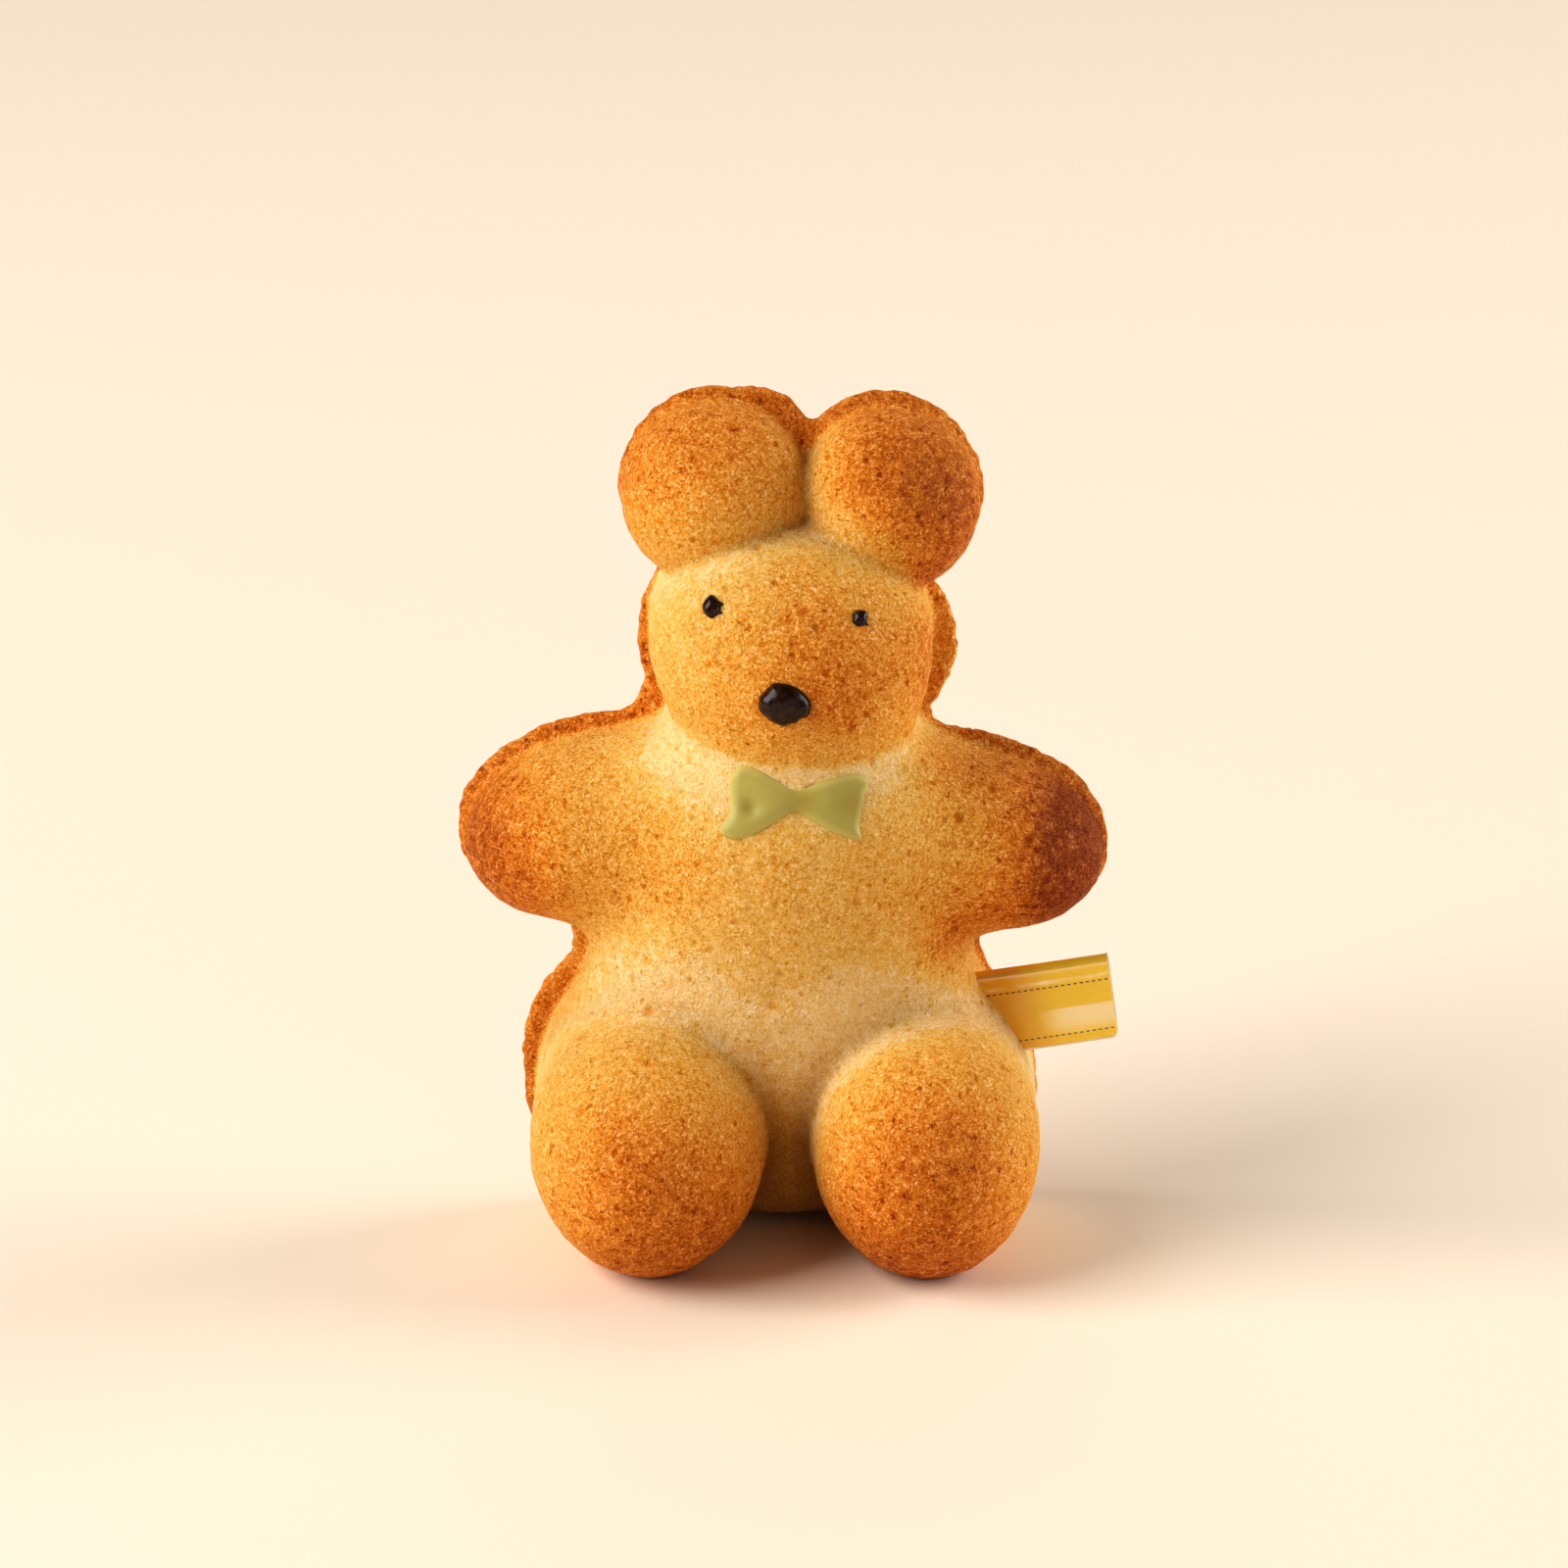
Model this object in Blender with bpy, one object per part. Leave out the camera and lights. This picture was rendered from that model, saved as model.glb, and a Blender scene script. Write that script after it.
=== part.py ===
"""A small butter cake baked in a teddy-bear mould, standing upright on its feet.

Chocolate eyes and nose, an icing bow tie and a folded paper tag in its right flank. The front faces
-Y and +Z is up. Sizes are in millimetres on the model's own axes: X = 0 near the middle of the chest,
Y grows towards the flat back, Z = 0 on the plate. place() turns them into metres about the middle.
"""

import math
from typing import NamedTuple

import bmesh
import bpy
import numpy as np
from mathutils import Matrix, Vector
from mathutils.bvhtree import BVHTree

MM = 0.001
MIDDLE_X = 0.57  # the middle of the whole object on the model's axes
MIDDLE_Y = -3.48

# The baked body
BACK_EDGE_Y = 13.0  # where the straight sides end and the domed back begins
BACK_DOME = 3.0  # how far the back rises over each lobe
VOXEL = 0.8
EASING_STEPS = 10
LONGEST_STEP = 0.5
CAKE_TRIANGLES = 8200
SHARP_EDGE = 40.0  # degrees

# The thin crust that ran over the mould's edge
LIP_FRONT_Y = 12.2
LIP_THICKNESS = 1.8
LIP_WIDTH = 0.25
LIP_BLEND = 1.0
FLAP_BLEND = 2.4  # softness of the corners between flaps

CLEARANCE = 0.3  # between pieces that touch


class Lobe(NamedTuple):
    """One rounded bulge of the mould: half an ellipsoid in front, carried straight back."""

    name: str
    centre: tuple[float, float, float]
    radii: tuple[float, float, float]
    roll: float = 0.0  # degrees about Y, right end up
    blend: float = 4.0  # width of the soft valley to the lobes before it


LOBES = (
    Lobe("chest", (0.5, 5.0, 48.6), (20.5, 15.5, 17.0)),
    Lobe("belly", (-0.6, 5.0, 30.5), (22.0, 13.5, 22.0), blend=8.0),
    Lobe("hips", (0.2, 6.5, 18.8), (27.8, 9.0, 17.9), blend=5.0),
    Lobe("arm_left", (-22.0, 9.5, 48.1), (15.5, 13.5, 10.5), roll=13.0, blend=5.5),
    Lobe("arm_right", (21.9, 9.5, 46.8), (15.5, 13.5, 10.3), roll=-15.0, blend=4.5),
    Lobe("skull", (0.6, 4.0, 73.0), (16.1, 13.5, 12.6), blend=4.5),
    Lobe("muzzle", (1.6, 2.2, 67.6), (13.2, 11.6, 10.3), blend=7.0),
    Lobe("ear_left", (-8.1, 9.5, 88.0), (10.5, 10.8, 10.5), blend=1.2),
    Lobe("ear_right", (12.2, 9.5, 87.2), (10.2, 10.8, 10.5), blend=1.6),
    Lobe("leg_left", (-15.8, -5.5, 14.2), (13.6, 17.5, 15.2), blend=4.0),
    Lobe("leg_right", (16.5, -5.5, 14.1), (13.2, 17.5, 15.2), blend=4.0),
)


class Flap(NamedTuple):
    """A flat oval of the lip, where more batter ran over the mould's edge."""

    name: str
    centre: tuple[float, float]  # X, Z
    radii: tuple[float, float]
    roll: float = 0.0


FLAPS = (
    Flap("top_of_left_ear", (-7.6, 89.1), (9.8, 10.4)),
    Flap("top_of_right_ear", (11.0, 88.5), (9.7, 10.5)),
    Flap("beside_right_ear", (13.1, 87.9), (8.8, 9.0)),
    Flap("beside_left_ear", (-2.5, 94.5), (4.6, 4.8)),
    Flap("between_ears", (3.4, 90.4), (3.4, 4.3)),
    Flap("right_cheek", (13.2, 69.1), (6.9, 8.9)),
    Flap("left_cheek", (-8.0, 69.5), (9.0, 9.0)),
    Flap("left_neck", (-14.0, 61.2), (3.6, 3.2)),
    Flap("left_shoulder", (-22.2, 48.9), (15.8, 11.6), roll=13.0),
    Flap("right_shoulder", (22.1, 46.8), (15.7, 11.4), roll=-15.0),
    Flap("right_flank", (15.0, 30.0), (8.0, 7.0)),
    Flap("left_hip", (-18.2, 17.8), (12.8, 15.6)),
    Flap("under_left_arm", (-23.4, 34.0), (1.2, 1.6)),
)


class Bead(NamedTuple):
    """A drop of chocolate pressed on the face."""

    name: str
    place: tuple[float, float]  # X, Z
    radii: tuple[float, float, float]


BEADS = (
    Bead("eye_left", (-8.05, 78.8), (1.25, 0.95, 1.4)),
    Bead("eye_right", (8.6, 77.9), (0.95, 0.8, 1.0)),
    Bead("nose", (0.0, 68.7), (3.0, 1.8, 2.65)),
)
BEAD_SINK = 0.2  # how far a bead's middle lies inside the cake's face

# The bow tie: its outline from the front, and how proud it stands
BOW_THICKNESS = 0.9
BOW_OUTLINE = (
    (-6.0, 59.3),
    (-4.9, 60.6),
    (-2.8, 60.2),
    (-0.6, 59.0),
    (1.3, 58.1),
    (4.0, 58.9),
    (7.4, 59.6),
    (9.6, 58.7),
    (9.2, 57.0),
    (8.6, 53.9),
    (8.8, 52.2),
    (6.4, 52.9),
    (3.3, 54.5),
    (1.2, 55.5),
    (-0.4, 54.9),
    (-3.2, 53.3),
    (-5.7, 52.4),
    (-7.4, 53.3),
    (-6.2, 55.6),
    (-6.3, 57.7),
)
BOW_STEPS = 3  # straight pieces between two outline points

# The folded paper tag
TAG_LENGTH = 21.5
TAG_HEIGHT = 10.4
TAG_FOLD_THICKNESS = 1.7
TAG_EDGE_THICKNESS = 0.6
TAG_FOLD_STEPS = 10
TAG_MIDDLE = (27.9, 5.0, 26.9)
TAG_TILT = 8.5  # degrees, outer end up


def clear_scene():
    for old in list(bpy.data.objects):
        bpy.data.objects.remove(old)


def make_material(name, colour, roughness):
    material = bpy.data.materials.new(name)
    material.use_nodes = True
    shader = material.node_tree.nodes["Principled BSDF"]
    shader.inputs["Base Color"].default_value = (*colour, 1.0)
    shader.inputs["Roughness"].default_value = roughness
    return material


def place(point):
    """Model millimetres to metres about the object's middle."""
    return Vector(((point[0] - MIDDLE_X) * MM, (point[1] - MIDDLE_Y) * MM, point[2] * MM))


def add_object(name, mesh_maker, material=None):
    """An object from a bmesh in model millimetres, which becomes metres in its mesh."""
    for vert in mesh_maker.verts:
        vert.co = place(vert.co)
    mesh = bpy.data.meshes.new(name)
    mesh_maker.to_mesh(mesh)
    mesh_maker.free()
    mesh.shade_smooth()
    mesh.set_sharp_from_angle(angle=math.radians(SHARP_EDGE))
    if material:
        mesh.materials.append(material)
    obj = bpy.data.objects.new(name, mesh)
    bpy.context.scene.collection.objects.link(obj)
    return obj


def apply_modifiers(obj):
    graph = bpy.context.evaluated_depsgraph_get()
    mesh = bpy.data.meshes.new_from_object(obj.evaluated_get(graph))
    obj.modifiers.clear()
    obj.data = mesh


def combine(obj, helper, operation):
    """Unites obj with helper, or cuts it, and removes the helper."""
    modifier = obj.modifiers.new(operation.lower(), "BOOLEAN")
    modifier.operation = operation
    modifier.object = helper
    apply_modifiers(obj)
    bpy.data.objects.remove(helper)


# ---- the cake's surface as a formula ----


def smooth_union(first, second, blend):
    """The smaller of two distances, eased over where they differ by less than blend."""
    near = np.maximum(blend - np.abs(first - second), 0.0) / blend
    return np.minimum(first, second) - near * near * blend / 4


def rolled(across, up, roll):
    """Coordinates along the axes of an oval whose right end is turned up by roll degrees."""
    turn = math.radians(roll)
    return (
        across * math.cos(turn) + up * math.sin(turn),
        up * math.cos(turn) - across * math.sin(turn),
    )


def oval_distance(offsets, radii):
    """About how far points lie outside an ellipsoid or ellipse centred on zero."""
    scaled = np.linalg.norm(offsets / radii, axis=1)
    slope = np.linalg.norm(offsets / np.square(radii), axis=1) + 1e-9
    return scaled * (scaled - 1.0) / slope


def lobe_distance(points, lobe):
    across, up = rolled(points[:, 0] - lobe.centre[0], points[:, 2] - lobe.centre[2], lobe.roll)
    in_front = np.minimum(points[:, 1] - lobe.centre[1], 0.0)
    behind = np.maximum(points[:, 1] - BACK_EDGE_Y, 0.0)
    depth = in_front + behind * lobe.radii[1] / BACK_DOME
    return oval_distance(np.stack([across, depth, up], axis=1), np.array(lobe.radii))


def body_distance(points):
    distance = lobe_distance(points, LOBES[0])
    for lobe in LOBES[1:]:
        distance = smooth_union(distance, lobe_distance(points, lobe), lobe.blend)
    return distance


def cake_distance(points):
    """The lobes, with the flat lip round their back edge."""
    edge = points.copy()
    edge[:, 1] = LIP_FRONT_Y
    outline = body_distance(edge) - LIP_WIDTH
    for flap in FLAPS:
        offsets = rolled(points[:, 0] - flap.centre[0], points[:, 2] - flap.centre[1], flap.roll)
        oval = oval_distance(np.stack(offsets, axis=1), np.array(flap.radii))
        outline = smooth_union(outline, oval, FLAP_BLEND)
    middle_y = LIP_FRONT_Y + LIP_THICKNESS / 2
    slab = np.abs(points[:, 1] - middle_y) - LIP_THICKNESS / 2
    lip = -smooth_union(-outline, -slab, LIP_BLEND)
    return smooth_union(body_distance(points), lip, LIP_BLEND)


def ease_onto_cake(points):
    """Moves points along the slope of cake_distance until they lie on its surface."""
    nudges = np.eye(3) * 0.05
    for _ in range(EASING_STEPS):
        rises = [cake_distance(points + nudge) - cake_distance(points - nudge) for nudge in nudges]
        slope = np.stack(rises, axis=1)
        slope /= np.linalg.norm(slope, axis=1, keepdims=True) + 1e-9
        move = np.clip(cake_distance(points), -LONGEST_STEP, LONGEST_STEP)
        points = points - slope * move[:, None]
    return points


# ---- the pieces ----


def add_lobe(lobe):
    """A sphere whose front half takes the lobe's depth and whose back half is pushed to the back."""
    shape = bmesh.new()
    upright = Matrix.Rotation(math.radians(90.0), 4, "X")
    bmesh.ops.create_uvsphere(shape, u_segments=40, v_segments=20, radius=1.0, matrix=upright)
    straight = BACK_EDGE_Y - lobe.centre[1]
    for vert in shape.verts:
        behind = vert.co.y > 1e-4
        depth = straight + vert.co.y * BACK_DOME if behind else vert.co.y * lobe.radii[1]
        vert.co = (vert.co.x * lobe.radii[0], depth, vert.co.z * lobe.radii[2])
    bmesh.ops.rotate(shape, verts=shape.verts, matrix=Matrix.Rotation(-math.radians(lobe.roll), 3, "Y"))
    bmesh.ops.translate(shape, verts=shape.verts, vec=lobe.centre)
    return add_object(lobe.name, shape)


def add_flap(name, centre, radii, roll):
    """A flat oval plate in the lip's layer."""
    shape = bmesh.new()
    lying = Matrix.Rotation(math.radians(90.0), 4, "X")
    bmesh.ops.create_cone(
        shape, cap_ends=True, segments=56, radius1=1.0, radius2=1.0, depth=LIP_THICKNESS, matrix=lying
    )
    bmesh.ops.scale(shape, verts=shape.verts, vec=(radii[0], 1.0, radii[1]))
    bmesh.ops.rotate(shape, verts=shape.verts, matrix=Matrix.Rotation(-math.radians(roll), 3, "Y"))
    middle = (centre[0], LIP_FRONT_Y + LIP_THICKNESS / 2, centre[1])
    bmesh.ops.translate(shape, verts=shape.verts, vec=middle)
    return add_object(name, shape)


def add_cake(material):
    """All lobes and the lip united, remeshed, eased onto the formula and thinned."""
    first, *others = [add_lobe(lobe) for lobe in LOBES]
    others += [add_flap(flap.name, flap.centre, flap.radii, flap.roll) for flap in FLAPS]
    for lobe in LOBES:
        radii = (lobe.radii[0] + LIP_WIDTH, lobe.radii[2] + LIP_WIDTH)
        others.append(add_flap(f"lip_{lobe.name}", (lobe.centre[0], lobe.centre[2]), radii, lobe.roll))
    joined = bpy.data.collections.new("joined")
    for other in others:
        joined.objects.link(other)
    union = first.modifiers.new("union", "BOOLEAN")
    union.operation = "UNION"
    union.operand_type = "COLLECTION"
    union.collection = joined
    remesh = first.modifiers.new("remesh", "REMESH")
    remesh.mode = "VOXEL"
    remesh.voxel_size = VOXEL * MM
    apply_modifiers(first)
    for other in others:
        bpy.data.objects.remove(other)
    bpy.data.collections.remove(joined)

    points = np.empty(len(first.data.vertices) * 3)
    first.data.vertices.foreach_get("co", points)
    middle = np.array([MIDDLE_X, MIDDLE_Y, 0.0])
    points = ease_onto_cake(points.reshape(-1, 3) / MM + middle)
    first.data.vertices.foreach_set("co", ((points - middle) * MM).ravel())

    thin = first.modifiers.new("thin", "DECIMATE")
    thin.ratio = CAKE_TRIANGLES / (2 * len(first.data.polygons))
    thin.use_collapse_triangulate = True
    apply_modifiers(first)
    first.name = "cake"
    first.data.materials.clear()
    first.data.materials.append(material)
    return first


def cut_feet_flat(cake):
    """The cake rests on the two flat strips that this leaves under the legs."""
    below = bmesh.new()
    size = 120.0
    bmesh.ops.create_cube(below, size=size)
    bmesh.ops.translate(below, verts=below.verts, vec=(0.0, 0.0, -size / 2))
    combine(cake, add_object("below_plate", below), "DIFFERENCE")


def front_of(surface, place_xz):
    """The point and normal where a straight line from the front meets the cake."""
    far_in_front = -60.0
    start = place((place_xz[0], far_in_front, place_xz[1]))
    point, normal, _, _ = surface.ray_cast(start, Vector((0.0, 1.0, 0.0)))
    return point, normal


def add_bead(bead, surface, grow, material=None):
    """A flattened ball turned to face along the cake's normal, half sunk in the cake."""
    point, normal = front_of(surface, bead.place)
    shape = bmesh.new()
    bmesh.ops.create_uvsphere(shape, u_segments=16, v_segments=10, radius=1.0)
    bmesh.ops.scale(shape, verts=shape.verts, vec=[radius + grow for radius in bead.radii])
    facing = normal.to_track_quat("-Y", "Z").to_matrix()
    bmesh.ops.rotate(shape, verts=shape.verts, matrix=facing)
    seat = point / MM - normal * BEAD_SINK + Vector((MIDDLE_X, MIDDLE_Y, 0.0))
    bmesh.ops.translate(shape, verts=shape.verts, vec=seat)
    return add_object(bead.name if material else f"{bead.name}_socket", shape, material)


def bow_outline():
    """The outline's points joined by Catmull-Rom curves."""
    count = len(BOW_OUTLINE)
    outline = []
    for i in range(count):
        before, start, end, after = (np.array(BOW_OUTLINE[(i + k) % count]) for k in (-1, 0, 1, 2))
        for j in range(BOW_STEPS):
            t = j / BOW_STEPS
            outline.append(
                start
                + 0.5 * t * (end - before)
                + 0.5 * t**2 * (2 * before - 5 * start + 4 * end - after)
                + 0.5 * t**3 * (3 * start - before - 3 * end + after)
            )
    return outline


def grown_copy(cake, distance, name):
    """The cake with its surface moved outwards."""
    copy = bpy.data.objects.new(name, cake.data.copy())
    bpy.context.scene.collection.objects.link(copy)
    displace = copy.modifiers.new("grow", "DISPLACE")
    displace.strength = distance * MM
    displace.mid_level = 0.0
    apply_modifiers(copy)
    return copy


def add_bow_tie(cake, material):
    """A prism of the bow's outline, kept only in a thin layer that follows the chest."""
    shape = bmesh.new()
    front_y, depth = -25.0, 25.0
    rim = [shape.verts.new((x, front_y, z)) for x, z in bow_outline()]
    face = shape.faces.new(rim)
    grown = bmesh.ops.extrude_face_region(shape, geom=[face])["geom"]
    far = [item for item in grown if isinstance(item, bmesh.types.BMVert)]
    bmesh.ops.translate(shape, verts=far, vec=(0.0, depth, 0.0))
    bmesh.ops.recalc_face_normals(shape, faces=shape.faces)
    bow = add_object("bow_tie", shape, material)
    combine(bow, grown_copy(cake, CLEARANCE + BOW_THICKNESS, "outer"), "INTERSECT")
    combine(bow, grown_copy(cake, CLEARANCE, "inner"), "DIFFERENCE")
    return bow


def add_tag(name, grow, material=None):
    """A strip of paper folded over at the top: a drop-shaped section carried along its length."""
    fold = TAG_FOLD_THICKNESS / 2 + grow
    edge = TAG_EDGE_THICKNESS / 2 + grow
    top = TAG_HEIGHT / 2 - TAG_FOLD_THICKNESS / 2
    bottom = -TAG_HEIGHT / 2 - grow
    angles = [math.pi * i / TAG_FOLD_STEPS for i in range(TAG_FOLD_STEPS + 1)]
    section = [(fold * math.cos(angle), top + fold * math.sin(angle)) for angle in angles]
    section += [(-edge, bottom), (edge, bottom)]
    shape = bmesh.new()
    start_x = -TAG_LENGTH / 2 - grow
    rim = [shape.verts.new((start_x, y, z)) for y, z in section]
    grown = bmesh.ops.extrude_face_region(shape, geom=[shape.faces.new(rim)])["geom"]
    far = [item for item in grown if isinstance(item, bmesh.types.BMVert)]
    bmesh.ops.translate(shape, verts=far, vec=(TAG_LENGTH + 2 * grow, 0.0, 0.0))
    bmesh.ops.recalc_face_normals(shape, faces=shape.faces)
    tilt = Matrix.Rotation(-math.radians(TAG_TILT), 3, "Y")
    bmesh.ops.rotate(shape, verts=shape.verts, matrix=tilt)
    bmesh.ops.translate(shape, verts=shape.verts, vec=TAG_MIDDLE)
    return add_object(name, shape, material)


def build():
    clear_scene()
    crumb = make_material("baked_crumb", (0.72, 0.42, 0.14), 0.8)
    chocolate = make_material("chocolate", (0.018, 0.011, 0.008), 0.25)
    icing = make_material("green_icing", (0.52, 0.52, 0.17), 0.35)
    paper = make_material("yellow_paper", (0.83, 0.55, 0.03), 0.35)
    cake = add_cake(crumb)
    cut_feet_flat(cake)
    add_bow_tie(cake, icing)
    surface = BVHTree.FromObject(cake, bpy.context.evaluated_depsgraph_get())
    for bead in BEADS:
        add_bead(bead, surface, 0.0, chocolate)
    cutters = [add_bead(bead, surface, CLEARANCE) for bead in BEADS]
    cutters.append(add_tag("tag_slot", CLEARANCE))
    for cutter in cutters:
        combine(cake, cutter, "DIFFERENCE")
    add_tag("tag", 0.0, paper)


build()
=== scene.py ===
"""A small butter cake baked in a teddy-bear mould, with chocolate eyes and nose, a bow tie of green
icing and a folded paper tag in its right flank, on a plain pale floor.

Shapes are worked out in millimetres on the model's own axes: X = 0 near the middle of the chest, Y
grows towards the flat back and Z = 0 under the feet. to_frame() moves them to the frame, in metres.
"""

import logging
import math
from dataclasses import dataclass
from enum import Enum
from functools import reduce

import bpy
import numpy as np
from mathutils import Matrix, Vector

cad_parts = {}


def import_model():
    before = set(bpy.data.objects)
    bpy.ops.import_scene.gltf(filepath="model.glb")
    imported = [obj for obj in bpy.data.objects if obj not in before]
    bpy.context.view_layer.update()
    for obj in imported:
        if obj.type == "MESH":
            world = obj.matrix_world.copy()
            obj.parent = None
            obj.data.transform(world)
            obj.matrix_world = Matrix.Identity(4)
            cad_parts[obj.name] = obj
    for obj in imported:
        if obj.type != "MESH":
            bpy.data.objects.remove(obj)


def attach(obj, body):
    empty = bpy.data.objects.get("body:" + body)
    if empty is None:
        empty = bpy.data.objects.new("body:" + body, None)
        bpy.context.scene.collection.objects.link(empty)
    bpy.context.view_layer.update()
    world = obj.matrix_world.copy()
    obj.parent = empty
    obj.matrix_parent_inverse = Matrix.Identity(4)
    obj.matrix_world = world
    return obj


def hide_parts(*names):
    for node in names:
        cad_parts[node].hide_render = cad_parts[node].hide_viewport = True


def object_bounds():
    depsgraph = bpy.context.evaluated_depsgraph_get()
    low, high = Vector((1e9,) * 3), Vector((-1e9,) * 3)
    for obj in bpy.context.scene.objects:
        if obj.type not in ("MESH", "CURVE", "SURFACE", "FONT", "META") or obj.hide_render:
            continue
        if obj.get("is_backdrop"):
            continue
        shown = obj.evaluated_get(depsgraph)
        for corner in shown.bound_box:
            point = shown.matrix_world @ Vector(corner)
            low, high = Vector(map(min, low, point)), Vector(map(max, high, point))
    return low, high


log = logging.getLogger("butter_cake")

Array = np.ndarray
Socket = bpy.types.NodeSocket
Colour = tuple[float, float, float]
Lumps = tuple[tuple[float, float, int], ...]  # each kind's size, height and seed

MM = 0.001
MIDDLE = np.array([0.57, -3.48, 0.0])  # the frame's origin on the model's axes
HAIR = 0.01  # how far the crumb stays within the solid's limits
HASH_STEPS = np.array([374761393, 668265263, 1440662683])  # large, to scatter neighbouring cells
HASH_TURN = 1274126177
HASH_MASK = 0xFFFFFFFF


class Slot(Enum):
    """The finishes that the pieces take."""

    CRUMB = "baked_crumb"
    CHOCOLATE = "chocolate"
    ICING = "green_icing"
    PAPER = "yellow_paper"


def to_frame(points: Array) -> Array:
    """Places on the model's axes, in millimetres, as places in the frame, in metres."""
    return (points - MIDDLE) * MM


def rise(values: Array, start: float, end: float) -> Array:
    """How far values have come on the way from start, 0, to end, 1, and level beyond both."""
    return np.clip((values - start) / (end - start), 0.0, 1.0)


def bell(away: Array, reach: float) -> Array:
    """A soft fall from 1 where away is 0, to 0.37 where it is the reach, and on to 0."""
    return np.exp(-((away / reach) ** 2))


# --- noise


def hashed(cell: Array, seed: int) -> Array:
    """A steady pseudo-random number from 0 to 1 for each lattice point.

    Args:
        cell: whole steps along X, Y and Z, one point a row.
        seed: picks one of many such lattices.

    Returns:
        One number for each point.
    """
    mixed = (cell @ HASH_STEPS + seed * HASH_TURN) & HASH_MASK
    mixed = ((mixed ^ (mixed >> 13)) * HASH_TURN) & HASH_MASK
    mixed = ((mixed ^ (mixed >> 15)) * HASH_STEPS[1]) & HASH_MASK
    return ((mixed ^ (mixed >> 16)) & 0xFFFFFF) / float(0xFFFFFF)


def soft_noise(points: Array, size: float, seed: int) -> Array:
    """Smooth noise from -1 to 1: hashed lattice values blended by the smoothstep of each offset.

    Args:
        points: places, one a row.
        size: the lattice spacing, so about the size of one lump.
        seed: picks the pattern.

    Returns:
        One value for each place.
    """
    scaled = points / size
    cell = np.floor(scaled).astype(np.int64)
    part = scaled - cell
    part = part * part * (3.0 - 2.0 * part)
    total = np.zeros(len(points))
    for corner in range(8):
        step = np.array([corner & 1, corner >> 1 & 1, corner >> 2])
        total += np.where(step, part, 1.0 - part).prod(axis=1) * hashed(cell + step, seed)
    return 2.0 * total - 1.0


def uneven(points: Array, lumps: Lumps) -> Array:
    """The height at each place of all kinds of lumps together."""
    return sum(height * soft_noise(points, size, seed) for size, height, seed in lumps)


@dataclass(frozen=True)
class Pores:
    """Round pits strewn through the crumb: at most one in each cell of a lattice.

    Attributes:
        spacing: the lattice spacing in millimetres.
        share: the share of the cells that hold a pit.
        smallest: the radius of the smallest pit.
        largest: the radius of the largest pit.
        seed: picks the pattern.
    """

    spacing: float
    share: float
    smallest: float
    largest: float
    seed: int

    def depth(self, points: Array) -> Array:
        """How deep each place lies in a pit: the height of a ball's cap over it, zero outside.

        Args:
            points: places, one a row.

        Returns:
            One depth in millimetres for each place.
        """
        cell = np.floor(points / self.spacing).astype(np.int64)
        deepest = np.zeros(len(points))
        for number in range(27):
            near = cell + np.array([number % 3, number // 3 % 3, number // 9]) - 1
            rolls = [hashed(near, self.seed + i) for i in range(5)]
            centre = (near + np.stack(rolls[:3], axis=1)) * self.spacing
            radius = self.smallest + (self.largest - self.smallest) * rolls[3] ** 2
            away = ((points - centre) ** 2).sum(axis=1)
            cap = np.sqrt(np.maximum(radius**2 - away, 0.0)) * (rolls[4] < self.share)
            deepest = np.maximum(deepest, cap)
        return deepest


# --- the mould's shape


def smooth_union(first: Array, second: Array, blend: float) -> Array:
    """The smaller of two distances, eased over where they differ by less than blend."""
    near = np.maximum(blend - np.abs(first - second), 0.0) / blend
    return np.minimum(first, second) - near * near * blend / 4


def oval_distance(squares: Array, steep_squares: Array) -> Array:
    """About how far places lie outside an oval: k (k - 1) / |gradient|, k = root of the squares."""
    scaled = np.sqrt(squares)
    return scaled * (scaled - 1.0) / (np.sqrt(steep_squares) + 1e-6)


@dataclass(frozen=True)
class Oval:
    """An oval in the X-Z plane, turned up at its right end by roll degrees.

    Attributes:
        centre: its middle, X and Z.
        radii: half its width and half its height.
        roll: degrees about Y, right end up.
    """

    centre: tuple[float, float]
    radii: tuple[float, float]
    roll: float = 0.0

    def squares(self, x: Array, z: Array) -> tuple[Array, Array]:
        """At x, z, the sums of (offset / radius) squared and of (offset / radius squared) squared."""
        turn = math.radians(self.roll)
        across = (x - self.centre[0]) * math.cos(turn) + (z - self.centre[1]) * math.sin(turn)
        up = (z - self.centre[1]) * math.cos(turn) - (x - self.centre[0]) * math.sin(turn)
        width, height = self.radii
        return (
            (across / width) ** 2 + (up / height) ** 2,
            (across / width**2) ** 2 + (up / height**2) ** 2,
        )

    def distance(self, x: Array, z: Array) -> Array:
        """How far places x, z lie outside the oval."""
        return oval_distance(*self.squares(x, z))


@dataclass(frozen=True)
class Lobe:
    """One rounded bulge of the mould: half an ellipsoid in front, carried straight back.

    Attributes:
        name: the part of the bear.
        oval: its outline from the front.
        y: the depth at which the ellipsoid ends and the straight sides begin.
        bulge: how far it stands out in front of y.
        blend: the width of the soft valley to the lobes before it.
    """

    name: str
    oval: Oval
    y: float
    bulge: float
    blend: float = 4.0


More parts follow.
